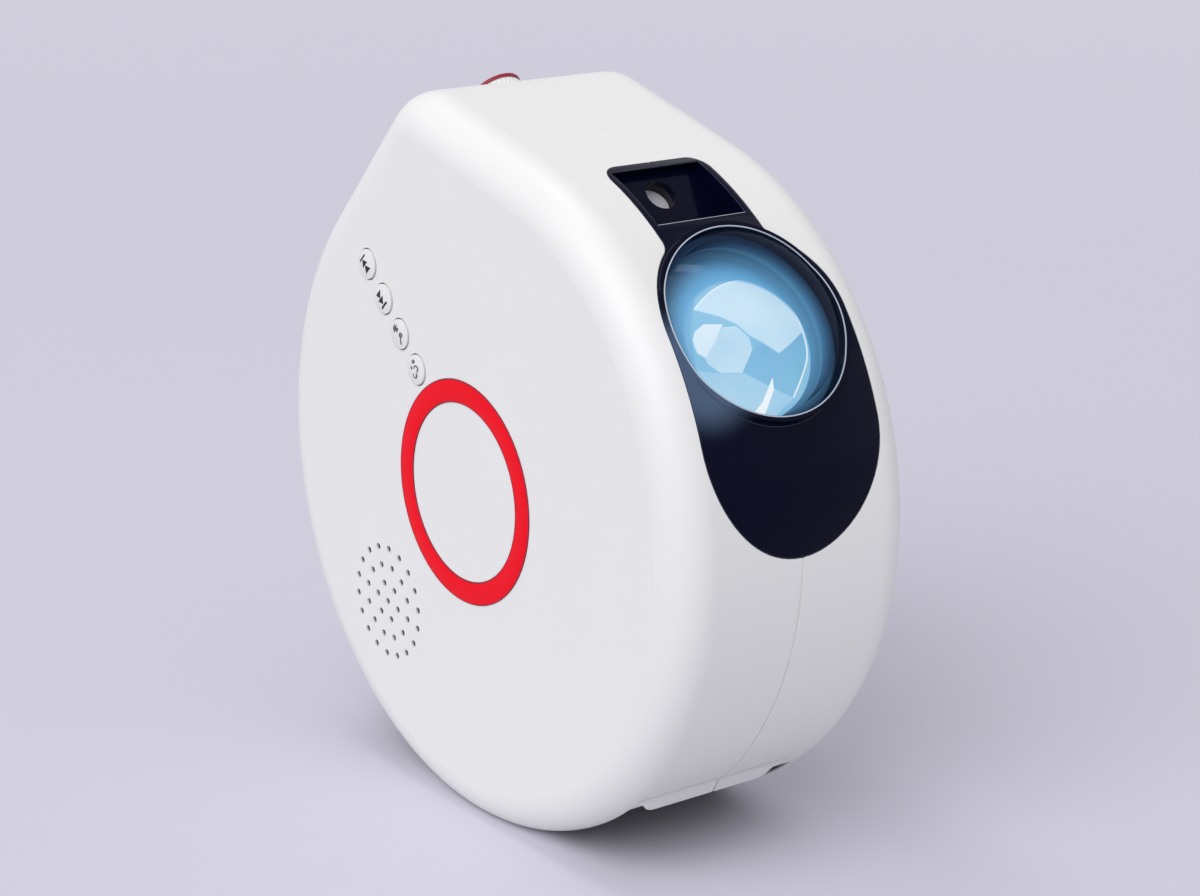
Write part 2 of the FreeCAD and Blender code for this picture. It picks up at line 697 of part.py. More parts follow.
def front_panel():
    """The glossy black keyhole insert, with the dome's bezel and the laser well."""
    inner = "body_radius - wall - flange_step"
    plug = common("panel_plug", panel_prism("panel_outline", "0"),
                  rim_layer("panel_layer", "body_radius", inner, "2 * panel_half_width"))
    flange = common("panel_flange", panel_prism("panel_flange_outline", "flange_lap"),
                    rim_layer("panel_flange_layer", inner, f"{inner} - flange_thick",
                              "2 * panel_half_width"))
    bezel = common("panel_bezel",
                   rod_out("panel_bezel_rod", "barrel_flange_radius", "bezel_foot", inner),
                   rod_across("panel_bezel_rim", inner, "-half_width", "half_width"))
    collar = rod_out("panel_collar", "dome_radius + bezel_wall", "bezel_foot",
                     "dome_seat + bezel_stand")
    well = common("panel_well",
                  block_out("panel_well_box", "well_half_width + well_wall",
                            "well_floor - well_wall", "body_radius", "0",
                            "well_high + well_wall", "laser_angle"),
                  block_out("panel_well_side", "well_half_width + well_wall", "panel_low",
                            "body_radius + beyond", "well_low - well_wall",
                            "neck_rise", "lens_angle"),
                  rod_across("panel_well_rim", "body_radius", "-half_width", "half_width"),
                  panel_prism("panel_well_outline", "0"))
    hollow = common("panel_well_hollow",
                    block_out("panel_hollow_box", "well_half_width", "well_floor",
                              "body_radius + beyond", "0", "well_high", "laser_angle"),
                    block_out("panel_hollow_side", "well_half_width", "panel_low",
                              "body_radius + 2 * beyond", "well_low", "2 * neck_rise",
                              "lens_angle"))
    mouth = rod_out("panel_laser_mouth", "laser_mouth", "well_floor - 2 * well_wall",
                    "well_floor + beyond", "laser_angle", "0", "laser_shift")
    bore = rod_out("panel_dome_bore", "dome_radius + fit_gap", "bezel_foot - beyond",
                   "body_radius + 2 * beyond")
    seat = rod_out("panel_dome_seat", "dome_radius + dome_lip + fit_gap", "bezel_foot - beyond",
                   "dome_step + fit_gap")
    barrel_room = rod_out("panel_barrel_room", "barrel_flange_radius + fit_gap",
                          "bezel_foot - 2 * beyond", "bezel_foot")
    body = fuse("panel_body", plug, flange, bezel, collar, well)
    return piece("front_panel",
                 cut("front_panel_cut", body, hollow, mouth, bore, seat, barrel_room))


def dome_lens():
    """The clear dome: a spherical cap on a short skirt with a lip behind the bezel."""
    body = new_body("dome_lens_body", radial("lens_angle"))
    sketch = new_sketch(body, "XZ_Plane", "dome_half_section")
    edge, thick = size("dome_radius"), size("dome_thick")
    sphere, seat = size("dome_sphere"), size("dome_seat")
    foot, step = number("bezel_foot + retainer_thick + bore_play"), size("dome_step")
    lip = number("dome_radius + dome_lip")
    heart = seat - math.sqrt(sphere ** 2 - edge ** 2)
    inner, bore = sphere - thick, edge - thick
    join = heart + math.sqrt(inner ** 2 - bore ** 2)
    spot = FreeCAD.Vector
    line(sketch, spot(bore, foot, 0), spot(lip, foot, 0))
    line(sketch, spot(lip, foot, 0), spot(lip, step, 0))
    line(sketch, spot(lip, step, 0), spot(edge, step, 0))
    line(sketch, spot(edge, step, 0), spot(edge, seat, 0))
    arc(sketch, spot(0, heart, 0), sphere, math.degrees(math.acos(edge / sphere)), 90)
    line(sketch, spot(0, heart + sphere, 0), spot(0, heart + inner, 0))
    arc(sketch, spot(0, heart, 0), inner, math.degrees(math.acos(bore / inner)), 90)
    line(sketch, spot(bore, join, 0), spot(bore, foot, 0))
    joins = ((0, 2, 1, 1), (1, 2, 2, 1), (2, 2, 3, 1), (3, 2, 4, 1), (4, 2, 5, 1), (5, 2, 6, 2),
             (6, 1, 7, 1), (7, 2, 0, 1), (4, 3, 6, 3))
    for join_ends in joins:
        sketch.addConstraint(Sketcher.Constraint("Coincident", *join_ends))
    for upright in (1, 3, 5, 7):
        sketch.addConstraint(Sketcher.Constraint("Vertical", upright))
    for level in (0, 2):
        sketch.addConstraint(Sketcher.Constraint("Horizontal", level))
    sketch.addConstraint(Sketcher.Constraint("PointOnObject", 4, 3, -2))
    sketch.addConstraint(Sketcher.Constraint("PointOnObject", 5, 1, -2))
    limits = (("edge", "DistanceX", (-1, 1, 3, 1, edge), "dome_radius"),
              ("lip", "DistanceX", (-1, 1, 1, 1, lip), "dome_radius + dome_lip"),
              ("bore", "DistanceX", (-1, 1, 7, 1, bore), "dome_radius - dome_thick"),
              ("foot", "DistanceY", (-1, 1, 0, 1, foot), "bezel_foot + retainer_thick + bore_play"),
              ("step", "DistanceY", (-1, 1, 2, 1, step), "dome_step"),
              ("seat", "DistanceY", (-1, 1, 3, 2, seat), "dome_seat"),
              ("outside", "Radius", (4, sphere), "dome_sphere"),
              ("inside", "Radius", (6, inner), "dome_sphere - dome_thick"))
    for name, kind, spec, words in limits:
        bind_constraint(sketch, name, Sketcher.Constraint(kind, *spec), words)
    turn = body.newObject("PartDesign::Revolution", "dome_turn")
    turn.Profile = sketch
    turn.ReferenceAxis = (sketch, ["V_Axis"])
    turn.Angle = 360
    return piece("dome_lens", body)


def dome_retainer():
    """The ring that holds the dome's lip against the bezel."""
    return piece("dome_retainer", tube("dome_retainer_ring", radial("lens_angle", "bezel_foot"),
                                       "dome_radius + dome_lip", "dome_radius - dome_thick",
                                       "retainer_thick"))


def laser_parts():
    """The star laser: a brass module with its star grating, in a holder under the well."""
    top = "well_floor - well_wall"
    face = "well_floor - laser_sink"
    module_top = f"{face} - grating_thick"
    foot = f"{module_top} - laser_length"
    holder_low = f"{module_top} - laser_length / 2"
    where = ("laser_angle", "0", "laser_shift")
    holder = cut("laser_holder_cut",
                 rod_out("laser_holder_body", "laser_radius + bore_play + holder_wall",
                         holder_low, top, *where),
                 rod_out("laser_holder_bore", "laser_radius + bore_play",
                         f"{holder_low} - beyond", f"{top} + beyond", *where),
                 rim_layer("laser_panel_room", "body_radius",
                           "body_radius - wall - flange_step - flange_thick - fit_gap",
                           "panel_half_width"))
    piece("laser_holder", holder)
    piece("laser_module", rod_out("laser_module_body", "laser_radius", foot, module_top, *where))
    piece("star_grating", rod_out("star_grating_disc", "laser_radius", module_top, face, *where))


# ---- lamp optics -----------------------------------------------------------------------------

def lens_barrel():
    """The front barrel: a conical mouth, the seat of the pattern lens and the wheel's chamber."""
    low, top = "lamp_top", "bezel_foot"
    body = fuse("barrel_body", rod_out("barrel_tube", "barrel_radius", low, top),
                rod_out("barrel_flange_disc", "barrel_flange_radius", f"{top} - barrel_flange", top))
    cone = solid("Cone", "barrel_cone", radial("lens_angle", "pattern_seat + pattern_thick"),
                 Radius1="pattern_radius + bore_play", Radius2="cone_mouth",
                 Height=f"{top} - pattern_seat - pattern_thick")
    tools = [cone,
             rod_out("barrel_seat", "pattern_radius + bore_play", "pattern_seat",
                     "pattern_seat + pattern_thick"),
             rod_out("barrel_light", "light_bore", low, "pattern_seat"),
             rod_out("barrel_chamber", "wheel_tip + 1.3 * move_gap", low, "wheel_face + move_gap"),
             rod_out("barrel_pinion", "pinion_tip + move_gap", low, "wheel_face + move_gap",
                     shift="-gear_distance")]
    return piece("lens_barrel", cut("lens_barrel_cut", body, *tools))


def pattern_lens():
    """The moulded nebula lens in the mouth of the barrel."""
    return piece("pattern_lens", rod_out("pattern_lens_disc", "pattern_radius", "pattern_seat",
                                         "pattern_seat + pattern_thick"))


def gear(name, where, teeth_name, root, bore):
    """A spur gear: a root ring and straight-sided teeth repeated round it."""
    body = new_body(name, where)
    ring = new_sketch(body, "XY_Plane", f"{name}_ring")
    radius, hole = number(root), number(bore)
    ring.addGeometry(Part.Circle(FreeCAD.Vector(0, 0, 0), FreeCAD.Vector(0, 0, 1), radius), False)
    ring.addGeometry(Part.Circle(FreeCAD.Vector(0, 0, 0), FreeCAD.Vector(0, 0, 1), hole), False)
    for index in (0, 1):
        ring.addConstraint(Sketcher.Constraint("Coincident", index, 3, -1, 1))
    bind_constraint(ring, "root", Sketcher.Constraint("Radius", 0, radius), root)
    bind_constraint(ring, "bore", Sketcher.Constraint("Radius", 1, hole), bore)
    disc = body.newObject("PartDesign::Pad", f"{name}_disc")
    disc.Profile = ring
    disc.setExpression("Length", bind("wheel_thick"))
    profile = new_sketch(body, "XY_Plane", f"{name}_tooth")
    pitch = f"gear_module * {teeth_name} / 2"
    foot = f"({root}) * 0.97"
    slope = "tan(20)"
    foot_half = f"tooth_pitch_width / 2 + dedendum * {slope}"
    tip_half = f"tooth_pitch_width / 2 - addendum * {slope}"
    tip = f"{pitch} + addendum"
    outline(profile, ((foot, f"-({foot_half})"), (f"({root})", f"-({foot_half})"),
                      (tip, f"-({tip_half})"), (tip, tip_half), (f"({root})", foot_half),
                      (foot, foot_half)))
    tooth = body.newObject("PartDesign::Pad", f"{name}_tooth_pad")
    tooth.Profile = profile
    tooth.setExpression("Length", bind("wheel_thick"))
    teeth = body.newObject("PartDesign::PolarPattern", f"{name}_teeth")
    teeth.Originals = [tooth]
    teeth.Axis = (profile, ["N_Axis"])
    teeth.Angle = 360
    teeth.setExpression("Occurrences", bind(teeth_name))
    body.Tip = teeth
    return body


def nebula_wheel():
    """The turning wheel: a toothed ring, and the rippled clear disc that it carries."""
    low = "wheel_face - wheel_thick"
    body = gear("nebula_wheel_gear", radial("lens_angle", low), "wheel_teeth", "wheel_root",
                "light_bore")
    piece("wheel_gear", body)
    piece("ripple_disc", rod_out("ripple_disc_body", "light_bore - shaft_play", low, f"{low} + disc_thick"))


def wheel_drive():
    """The motor, its bracket, shaft and pinion, which turn the wheel by its rim."""
    low, shift = "wheel_face - wheel_thick", "-gear_distance"
    where = bind(f"placement(vector(0; {radial_y(low, shift)}; {radial_z(low, shift)});"
                 "rotation(vector(1;0;0); lens_angle - 90) * "
                 "rotation(vector(0;0;1); 90 + 180 / pinion_teeth))")
    piece("drive_pinion", gear("drive_pinion_gear", where, "pinion_teeth", "pinion_root",
                               "motor_shaft"))
    top = "lamp_top - bracket_thick"
    bracket = block_out("bracket_plate", "bracket_half", top, "lamp_top",
                        "-gear_distance - bracket_half", "-lamp_radius + bracket_thick")
    piece("motor_bracket",
          cut("motor_bracket_cut", bracket,
              rod_out("bracket_collar_hole", "collar_radius", f"{top} - beyond",
                      "lamp_top + beyond", shift=shift),
              rod_out("bracket_lamp_side", "lamp_radius + bore_play", f"{top} - beyond",
                      "lamp_top + beyond")))
    can = fuse("motor_can", rod_out("motor_body", "motor_radius", f"{top} - motor_length", top,
                                    shift=shift),
               rod_out("motor_collar", "collar_radius - bore_play", top, "lamp_top", shift=shift))
    bore_low = f"{top} - motor_length / 4"
    piece("wheel_motor",
          cut("wheel_motor_cut", can,
              rod_out("motor_shaft_bore", "motor_shaft + shaft_play", bore_low,
                      "lamp_top + beyond", shift=shift)))
    piece("motor_shaft", rod_out("motor_shaft_rod", "motor_shaft", f"{bore_low} + move_gap",
                                 "wheel_face", shift=shift))


def radial_y(out, shift):
    """The Y of a point given by its distance out along the lens axis and its shift."""
    return f"({out}) * cos(lens_angle) + ({shift}) * sin(lens_angle)"


def radial_z(out, shift):
    """The Z of a point given by its distance out along the lens axis and its shift."""
    return f"centre_height + ({out}) * sin(lens_angle) - ({shift}) * cos(lens_angle)"


def lamp_housing():
    """The rear housing, which seats the condenser lens over the lamps."""
    body = rod_out("housing_tube", "lamp_radius", "lamp_back", "lamp_top")
    tools = [rod_out("housing_board_seat", "led_board_radius + bore_play", "lamp_back - beyond",
                     "lamp_back + led_board_thick"),
             rod_out("housing_light", "light_bore - led_high", "lamp_back", "condenser_seat"),
             rod_out("housing_lens_seat", "condenser_radius + bore_play", "condenser_seat",
                     "lamp_top + beyond")]
    return piece("lamp_housing", cut("lamp_housing_cut", body, *tools))


def condenser_lens():
    """The plano-convex lens that gathers the light of the lamps."""
    rim = rod_out("condenser_rim_disc", "condenser_radius", "condenser_seat",
                  "condenser_seat + condenser_rim")
    cap_base = "condenser_radius - condenser_rim"
    ball_radius = f"(({cap_base}) * ({cap_base}) + condenser_rise * condenser_rise)" \
                  " / (2 * condenser_rise)"
    ball = solid("Sphere", "condenser_ball",
                 radial("lens_angle", "condenser_seat + condenser_rim + condenser_rise"
                                      f" - ({ball_radius})"), Radius=ball_radius)
    keep = rod_out("condenser_cap_reach", "condenser_radius", "condenser_seat + condenser_rim / 2",
                   "condenser_seat + condenser_rim + 2 * condenser_rise")
    return piece("condenser_lens", fuse("condenser_lens_body", rim,
                                        common("condenser_cap", ball, keep)))


def lamp_board():
    """The round metal-cored board, its lamps, and the finned heat sink behind them."""
    piece("led_board", rod_out("led_board_disc", "led_board_radius", "lamp_back",
                               "lamp_back + led_board_thick"))
    lamps = []
    for index, (run, rise) in enumerate(((1, 1), (-1, 1), (-1, -1), (1, -1))):
        lamps.append(solid("Box", f"led_{index}",
                           radial("lens_angle", "lamp_back + led_board_thick",
                                  f"{run} * led_spread - led_side / 2",
                                  f"{rise} * led_spread - led_side / 2"),
                           Length="led_side", Width="led_side", Height="led_high"))
    piece("led_lamps", group("led_lamps_group", *lamps))
    base = rod_out("sink_disc", "lamp_radius", "lamp_back - sink_base", "lamp_back")
    fins = [block_out(f"sink_fin_{index}", "lamp_radius", "lamp_back - sink_base - fin_high",
                      "lamp_back - sink_base / 2",
                      f"{index - 3} * fin_step - fin_thick / 2",
                      f"{index - 3} * fin_step + fin_thick / 2") for index in range(7)]
    round_fins = common("sink_fins", fuse("sink_fin_set", *fins),
                        rod_out("sink_reach", "lamp_radius",
                                "lamp_back - sink_base - fin_high - beyond", "lamp_back"))
    piece("heat_sink", fuse("heat_sink_body", base, round_fins))


# ---- side face: accent ring, buttons and speaker -----------------------------------------------

def accent_ring():
    """The ring let into the left face, standing just proud of it."""
    return piece("accent_ring", tube("accent_ring_body", across("-half_width - ring_stand"),
                                     "ring_outer", "ring_inner", "ring_stand + ring_sink"))


def button_spot(index):
    """The place of one button in the left face, counted from the drum's axis."""
    return (f"button_first_y + {index} * button_pitch * cos(button_line)",
            f"button_first_z + {index} * button_pitch * sin(button_line)")


def push_buttons():
    """Four round caps with wings behind the wall and stems that reach for the switches."""
    for index, name in enumerate(BUTTON_NAMES):
        y, z = button_spot(index)
        front = "-half_width - button_stand"
        back = "-half_width + wall + move_gap"
        cap = rod_across(f"{name}_cap", "button_radius", front, f"{back} + wing_thick", y, z)
        ball_radius = "(button_radius * button_radius + button_crown * button_crown)" \
                      " / (2 * button_crown)"
        ball = solid("Sphere", f"{name}_crown_ball",
                     place(f"{front} - button_crown + {ball_radius}", y, z), Radius=ball_radius)
        crown = common(f"{name}_crown", ball,
                       rod_across(f"{name}_crown_reach", "button_radius",
                                  f"{front} - 2 * button_crown", f"{front} + button_crown / 5",
                                  y, z))
        wings = solid("Box", f"{name}_wings",
                      bind(f"placement(vector({back}; {y}; centre_height + {z});"
                           "rotation(vector(1;0;0); button_line))"
                           " * placement(vector(0; -wing_width / 2; -wing_half);"
                           "rotation(vector(1;0;0); 0))"),
                      Length="wing_thick", Width="wing_width", Height="2 * wing_half")
        stem = rod_across(f"{name}_stem", "stem_radius", f"{back} + wing_thick / 2",
                          f"{back} + wing_thick + stem_length", y, z)
        piece(name, fuse(f"{name}_body", cap, crown, wings, stem))


def button_board():
    """The narrow board behind the buttons, with one tact switch under each stem."""
    middle = ("button_first_y + 1.5 * button_pitch * cos(button_line)",
              "button_first_z + 1.5 * button_pitch * sin(button_line)")
    board = solid("Box", "button_board_plate",
                  bind(f"placement(vector(button_board_face; {middle[0]};"
                       f"centre_height + {middle[1]}); rotation(vector(1;0;0); button_line))"
                       " * placement(vector(0; -button_board_long / 2; -button_board_wide / 2);"
                       "rotation(vector(1;0;0); 0))"),
                  Length="board_thick", Width="button_board_long", Height="button_board_wide")
    piece("button_board", board)
    switches = []
    for index in range(len(BUTTON_NAMES)):
        y, z = button_spot(index)
        body = solid("Box", f"tact_body_{index}",
                     bind(f"placement(vector(button_board_face - switch_high; {y};"
                          f"centre_height + {z}); rotation(vector(1;0;0); button_line))"
                          " * placement(vector(0; -switch_side / 2; -switch_side / 2);"
                          "rotation(vector(1;0;0); 0))"),
                     Length="switch_high", Width="switch_side", Height="switch_side")
        tip = rod_across(f"tact_tip_{index}", "stem_radius",
                         "button_board_face - switch_high - switch_tip",
                         "button_board_face - switch_high / 2", y, z)
        switches.append(fuse(f"tact_{index}", body, tip))
    piece("tact_switches", group("tact_switch_group", *switches))


def speaker_parts():
    """The loudspeaker: gasket, frame, cone and magnet behind the sound holes."""
    spot = ("speaker_y", "speaker_z")
    face = "-half_width + wall"
    front = f"{face} + gasket_thick"
    piece("speaker_gasket", tube("speaker_gasket_ring", across(face, *spot), "speaker_radius",
                                 "speaker_radius - speaker_rim", "gasket_thick"))
    where = across(front, *spot)
    deep, rim = "speaker_deep", "speaker_radius - speaker_rim"
    piece("speaker_frame",
          turned("speaker_frame_body", where,
                 ((rim, "0"), ("speaker_radius", "0"), ("speaker_radius", "speaker_rim"),
                  ("magnet_radius", deep), ("1.2 * cap_radius", deep),
                  ("1.2 * cap_radius", f"{deep} - speaker_rim"),
                  (rim, "speaker_rim * 1.2"))))
    piece("speaker_cone",
          turned("speaker_cone_body", where,
                 (("0", "cone_face"), ("cap_radius", "cone_face + cone_hollow"),
                  (f"{rim} - fit_gap", "cone_thick"), (f"{rim} - fit_gap", "2 * cone_thick"),
                  ("cap_radius", "cone_face + cone_hollow + cone_thick"),
                  ("0", "cone_face + cone_thick"))))
    piece("speaker_magnet", rod_across("speaker_magnet_disc", "magnet_radius",
                                       f"{front} + {deep}", f"{front} + {deep} + magnet_thick",
                                       *spot))


# ---- knob, inlet and boards -------------------------------------------------------------------

def volume_knob():
    """The knob on the sloping back face, its red rim, its shaft and the control under it."""
    where = ("back_normal", "knob_x", "knob_shift")
    low, top = "body_radius + move_gap", "body_radius + move_gap + knob_high"
    cap = rod_out("knob_cap", "knob_radius", low, top, *where)
    seat = cut("knob_rim_seat",
               rod_out("knob_rim_outer", "knob_radius + knob_rim", f"{top} - 2 * knob_rim",
                       f"{top} + knob_rim", *where),
               rod_out("knob_rim_inner", "knob_radius - knob_rim", f"{top} - 3 * knob_rim",
                       f"{top} + 2 * knob_rim", *where))
    socket = rod_out("knob_socket", "knob_shaft", f"{low} - knob_rim", f"{top} - knob_high / 3",
                     *where)
    piece("volume_knob", cut("volume_knob_cut", cap, seat, socket))
    piece("knob_rim", cut("knob_rim_cut",
                          rod_out("knob_rim_body", "knob_radius", f"{top} - 2 * knob_rim", top,
                                  *where),
                          rod_out("knob_rim_bore", "knob_radius - knob_rim",
                                  f"{top} - 3 * knob_rim", f"{top} + knob_rim", *where)))
    floor = "body_radius - wall - fit_gap - pot_thick"
    piece("knob_shaft", rod_out("knob_shaft_rod", "knob_shaft", f"{floor} + knob_shaft / 2",
                                f"{top} - knob_high / 3", *where))
    box = solid("Box", "pot_box", radial("back_normal", floor, "knob_x - pot_side / 2",
                                         "knob_shift - pot_side / 2"),
                Length="pot_side", Width="pot_side", Height="pot_thick")
    bush = rod_out("pot_bush", "bush_radius", floor, "body_radius - move_gap", *where)
    piece("volume_control",
          cut("volume_control_cut", fuse("volume_control_body", box, bush),
              rod_out("pot_bore", "knob_shaft + shaft_play",
                      f"{floor} + knob_shaft / 2 - move_gap", "body_radius + beyond", *where)))


def power_inlet():
    """The round power socket at the back, with its centre pin and the nut that holds it."""
    where = ("inlet_angle", "inlet_x")
    face = "body_radius - inlet_sink"
    stem = rod_out("inlet_stem", "inlet_radius", f"{face} - inlet_length", face, *where)
    collar = rod_out("inlet_collar", "inlet_face", face, f"{face} + 0.8 * inlet_sink", *where)
    hollow = rod_out("inlet_hollow", "inlet_bore", f"{face} - inlet_deep", f"{face} + beyond",
                     *where)
    pin = rod_out("inlet_centre_pin", "inlet_pin", f"{face} - inlet_deep - inlet_pin",
                  f"{face} - inlet_sink", *where)
    piece("power_inlet", fuse("power_inlet_body",
                              cut("power_inlet_cut", fuse("inlet_shell", stem, collar), hollow),
                              pin))
    nut_top = "body_radius - wall - nut_drop"
    nut = solid("Prism", "inlet_nut_body",
                radial("inlet_angle", f"{nut_top} - nut_thick", "inlet_x"),
                Circumradius="nut_flats / 2 / cos(30)", Height="nut_thick")
    nut.Polygon = 6
    piece("inlet_nut", cut("inlet_nut_cut", nut,
                           rod_out("inlet_nut_bore", "inlet_radius + bore_play / 2",
                                   f"{nut_top} - 2 * nut_thick", f"{nut_top} + nut_thick",
                                   *where)))


def board_corners():
    """The four fixing points of the main board, counted from the drum's axis."""
    near_y, near_z = "board_low_y + board_inset", "board_low_z + board_inset"
    far_y = "board_low_y + board_long - board_inset"
    far_z = "board_low_z + board_high - board_inset"
    return ((near_y, near_z), (far_y, near_z), (far_y, far_z), (near_y, far_z))


def main_board():
    """The main circuit board on its four posts, and the parts soldered to it."""
    plate = block("main_board_plate", "board_face", "board_face + board_thick", "board_low_y",
                  "board_low_y + board_long", "board_low_z", "board_low_z + board_high")
    holes = [rod_across(f"board_hole_{index}", "small_screw + bore_play", "board_face - board_thick",
                        "board_face + 2 * board_thick", *spot)
             for index, spot in enumerate(board_corners())]
    piece("main_board", cut("main_board_cut", plate, *holes))
    parts = [block(f"board_part_{index}", f"board_face - {high} * grid_pitch", "board_face",
                   f"board_low_y + {run} * grid_pitch",
                   f"board_low_y + {run + long} * grid_pitch",
                   f"board_low_z + {rise} * grid_pitch",
                   f"board_low_z + {rise + tall} * grid_pitch")
             for index, (run, rise, long, tall, high) in enumerate(BOARD_PARTS)]
    piece("board_parts", group("board_parts_group", *parts))
    screws = [fuse(f"board_screw_{index}",
                   rod_across(f"board_screw_head_{index}", "small_head",
                              "board_face - small_head_high", "board_face", *spot),
                   rod_across(f"board_screw_shank_{index}", "small_screw",
                              "board_face - small_head_high / 2",
                              "board_face + board_thick", *spot))
              for index, spot in enumerate(board_corners())]
    piece("board_screws", group("board_screw_group", *screws))


def case_screws():
    """The screws that draw the two halves together, one in each post."""
    screws = []
    for index, (angle, depth) in enumerate(POSTS):
        spot = post_spot(angle, depth)
        head = rod_across(f"screw_head_{index}", "head_radius", "head_seat",
                          "head_seat + head_high", *spot)
        slot = solid("Box", f"screw_slot_{index}",
                     place("head_seat + head_high - slot_deep", f"{spot[0]} - head_radius",
                           f"{spot[1]} - slot_wide / 2"),
                     Length="2 * slot_deep", Width="2 * head_radius", Height="slot_wide")
        shank = rod_across(f"screw_shank_{index}", "screw_radius", "-screw_reach",
                           "head_seat + head_high / 4", *spot)
        screws.append(fuse(f"case_screw_{index}", cut(f"screw_head_cut_{index}", head, slot),
                           shank))
    piece("case_screws", group("case_screw_group", *screws))


def base_sole():
    """The dark rubber sole let into the underside, flat where it meets the table."""
    outer = "body_radius - sole_inset"
    inner = "body_radius - wall - flange_step"
    plug = common("sole_plug",
                  rim_layer("sole_layer", outer, inner, "sole_half_width"),
                  block("sole_reach", "-sole_half_width", "sole_half_width", "-body_radius",
                        "body_radius", "-body_radius", "sole_top"))
    flange = common("sole_flange",
                    rim_layer("sole_flange_layer", inner, f"{inner} - flange_thick",
                              "sole_half_width + flange_lap"),
                    block("sole_flange_reach", "-half_width", "half_width", "-body_radius",
                          "body_radius", "-body_radius", "sole_top + flange_lap"))
    ground = block("sole_ground", "-half_width", "half_width", "-body_radius", "body_radius",
                   "-2 * body_radius", "-centre_height")
    return piece("base_sole", cut("base_sole_cut", fuse("sole_body", plug, flange), ground))


# ---- derived places --------------------------------------------------------------------------

DERIVED = {
    "knob_shift": "=knob_inset - body_radius * tan((top_normal - back_normal) / 2)",
    "button_board_long": "=3 * button_pitch + switch_side + 2 * button_board_margin",
    "centre_height": "=body_radius - foot_cut",
    "sole_top": "=sole_rise - centre_height",
    "panel_half_width": "=dome_radius + panel_margin",
    "panel_low": "=body_radius - panel_depth",
    "well_floor": "=body_radius - well_depth",
    "dome_seat": "=body_radius - dome_sink",
    "dome_step": "=dome_seat - dome_skirt",
    "bezel_foot": "=dome_step - dome_lip_thick - retainer_thick - bore_play",
    "pattern_seat": "=bezel_foot - pattern_depth",
    "wheel_face": "=pattern_seat - wheel_drop",
    "barrel_flange_radius": "=dome_radius + dome_lip + fit_gap + bezel_wall",
    "lamp_top": "=wheel_face - wheel_thick - move_gap",
    "condenser_seat": "=lamp_top - condenser_drop",
    "lamp_back": "=lamp_top - lamp_depth",
    "wheel_tip": "=gear_module * wheel_teeth / 2 + addendum",
    "wheel_root": "=gear_module * wheel_teeth / 2 - dedendum",
    "pinion_tip": "=gear_module * pinion_teeth / 2 + addendum",
    "pinion_root": "=gear_module * pinion_teeth / 2 - dedendum",
    "gear_distance": "=gear_module * (wheel_teeth + pinion_teeth) / 2 + mesh_play",
    "button_board_face": "=-half_width + wall + move_gap + wing_thick + stem_length"
                         " + button_travel + move_gap + switch_tip + switch_high",
    "board_face": "=half_width - wall - board_stand - board_thick",
}


def fill_derived():
    """Write the places that follow from the driving dimensions."""
    for row, (alias, words) in enumerate(DERIVED.items(), start=len(SIZES) + 2):
        sheet.set(f"A{row}", alias)
        sheet.setAlias(f"B{row}", alias)
        sheet.set(f"B{row}", words)
        SIZES[alias] = 0.0
    doc.recompute()


# ---- checks and files ------------------------------------------------------------------------

def check_pieces():
    """Stop if any object failed or any finished piece is not sound."""
    for item in doc.Objects:
        if "Invalid" in item.State or "Error" in item.State:
            raise RuntimeError(f"{item.Name} failed: {item.State}")
    for name, item in pieces.items():
        shape = item.Shape
        if shape.isNull() or not shape.isValid() or not shape.Solids:
            raise RuntimeError(f"{name} has no sound shape")


def write_pieces():
    """Write one STEP file for each finished piece."""
    os.makedirs("parts", exist_ok=True)
    for name, item in pieces.items():
        item.Shape.exportStep(f"parts/{name}.step")
        box = item.Shape.BoundBox
        print(f"{name}: {len(item.Shape.Solids)} solids, {item.Shape.Volume:.0f} mm3, "
              f"x {box.XMin:.1f}..{box.XMax:.1f} y {box.YMin:.1f}..{box.YMax:.1f} "
              f"z {box.ZMin:.1f}..{box.ZMax:.1f}")


fill_sheet()
fill_derived()
left_shell()
right_shell()
front_panel()
dome_lens()
dome_retainer()
laser_parts()
lens_barrel()
pattern_lens()
nebula_wheel()
wheel_drive()
lamp_housing()
condenser_lens()
lamp_board()
accent_ring()
push_buttons()
button_board()
speaker_parts()
volume_knob()
power_inlet()
main_board()
case_screws()
base_sole()
doc.recompute()
check_pieces()
write_pieces()
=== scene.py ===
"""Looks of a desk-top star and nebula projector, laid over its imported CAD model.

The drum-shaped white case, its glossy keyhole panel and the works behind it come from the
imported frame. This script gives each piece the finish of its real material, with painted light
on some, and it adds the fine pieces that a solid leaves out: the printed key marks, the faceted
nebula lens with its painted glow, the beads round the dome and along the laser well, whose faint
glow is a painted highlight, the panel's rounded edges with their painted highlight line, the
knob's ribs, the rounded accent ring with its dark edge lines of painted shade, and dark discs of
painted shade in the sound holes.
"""

from __future__ import annotations

import json
import logging
import math
from dataclasses import dataclass, field
from enum import Enum
from typing import Sequence

import bmesh
import bpy
from mathutils import Matrix, Vector

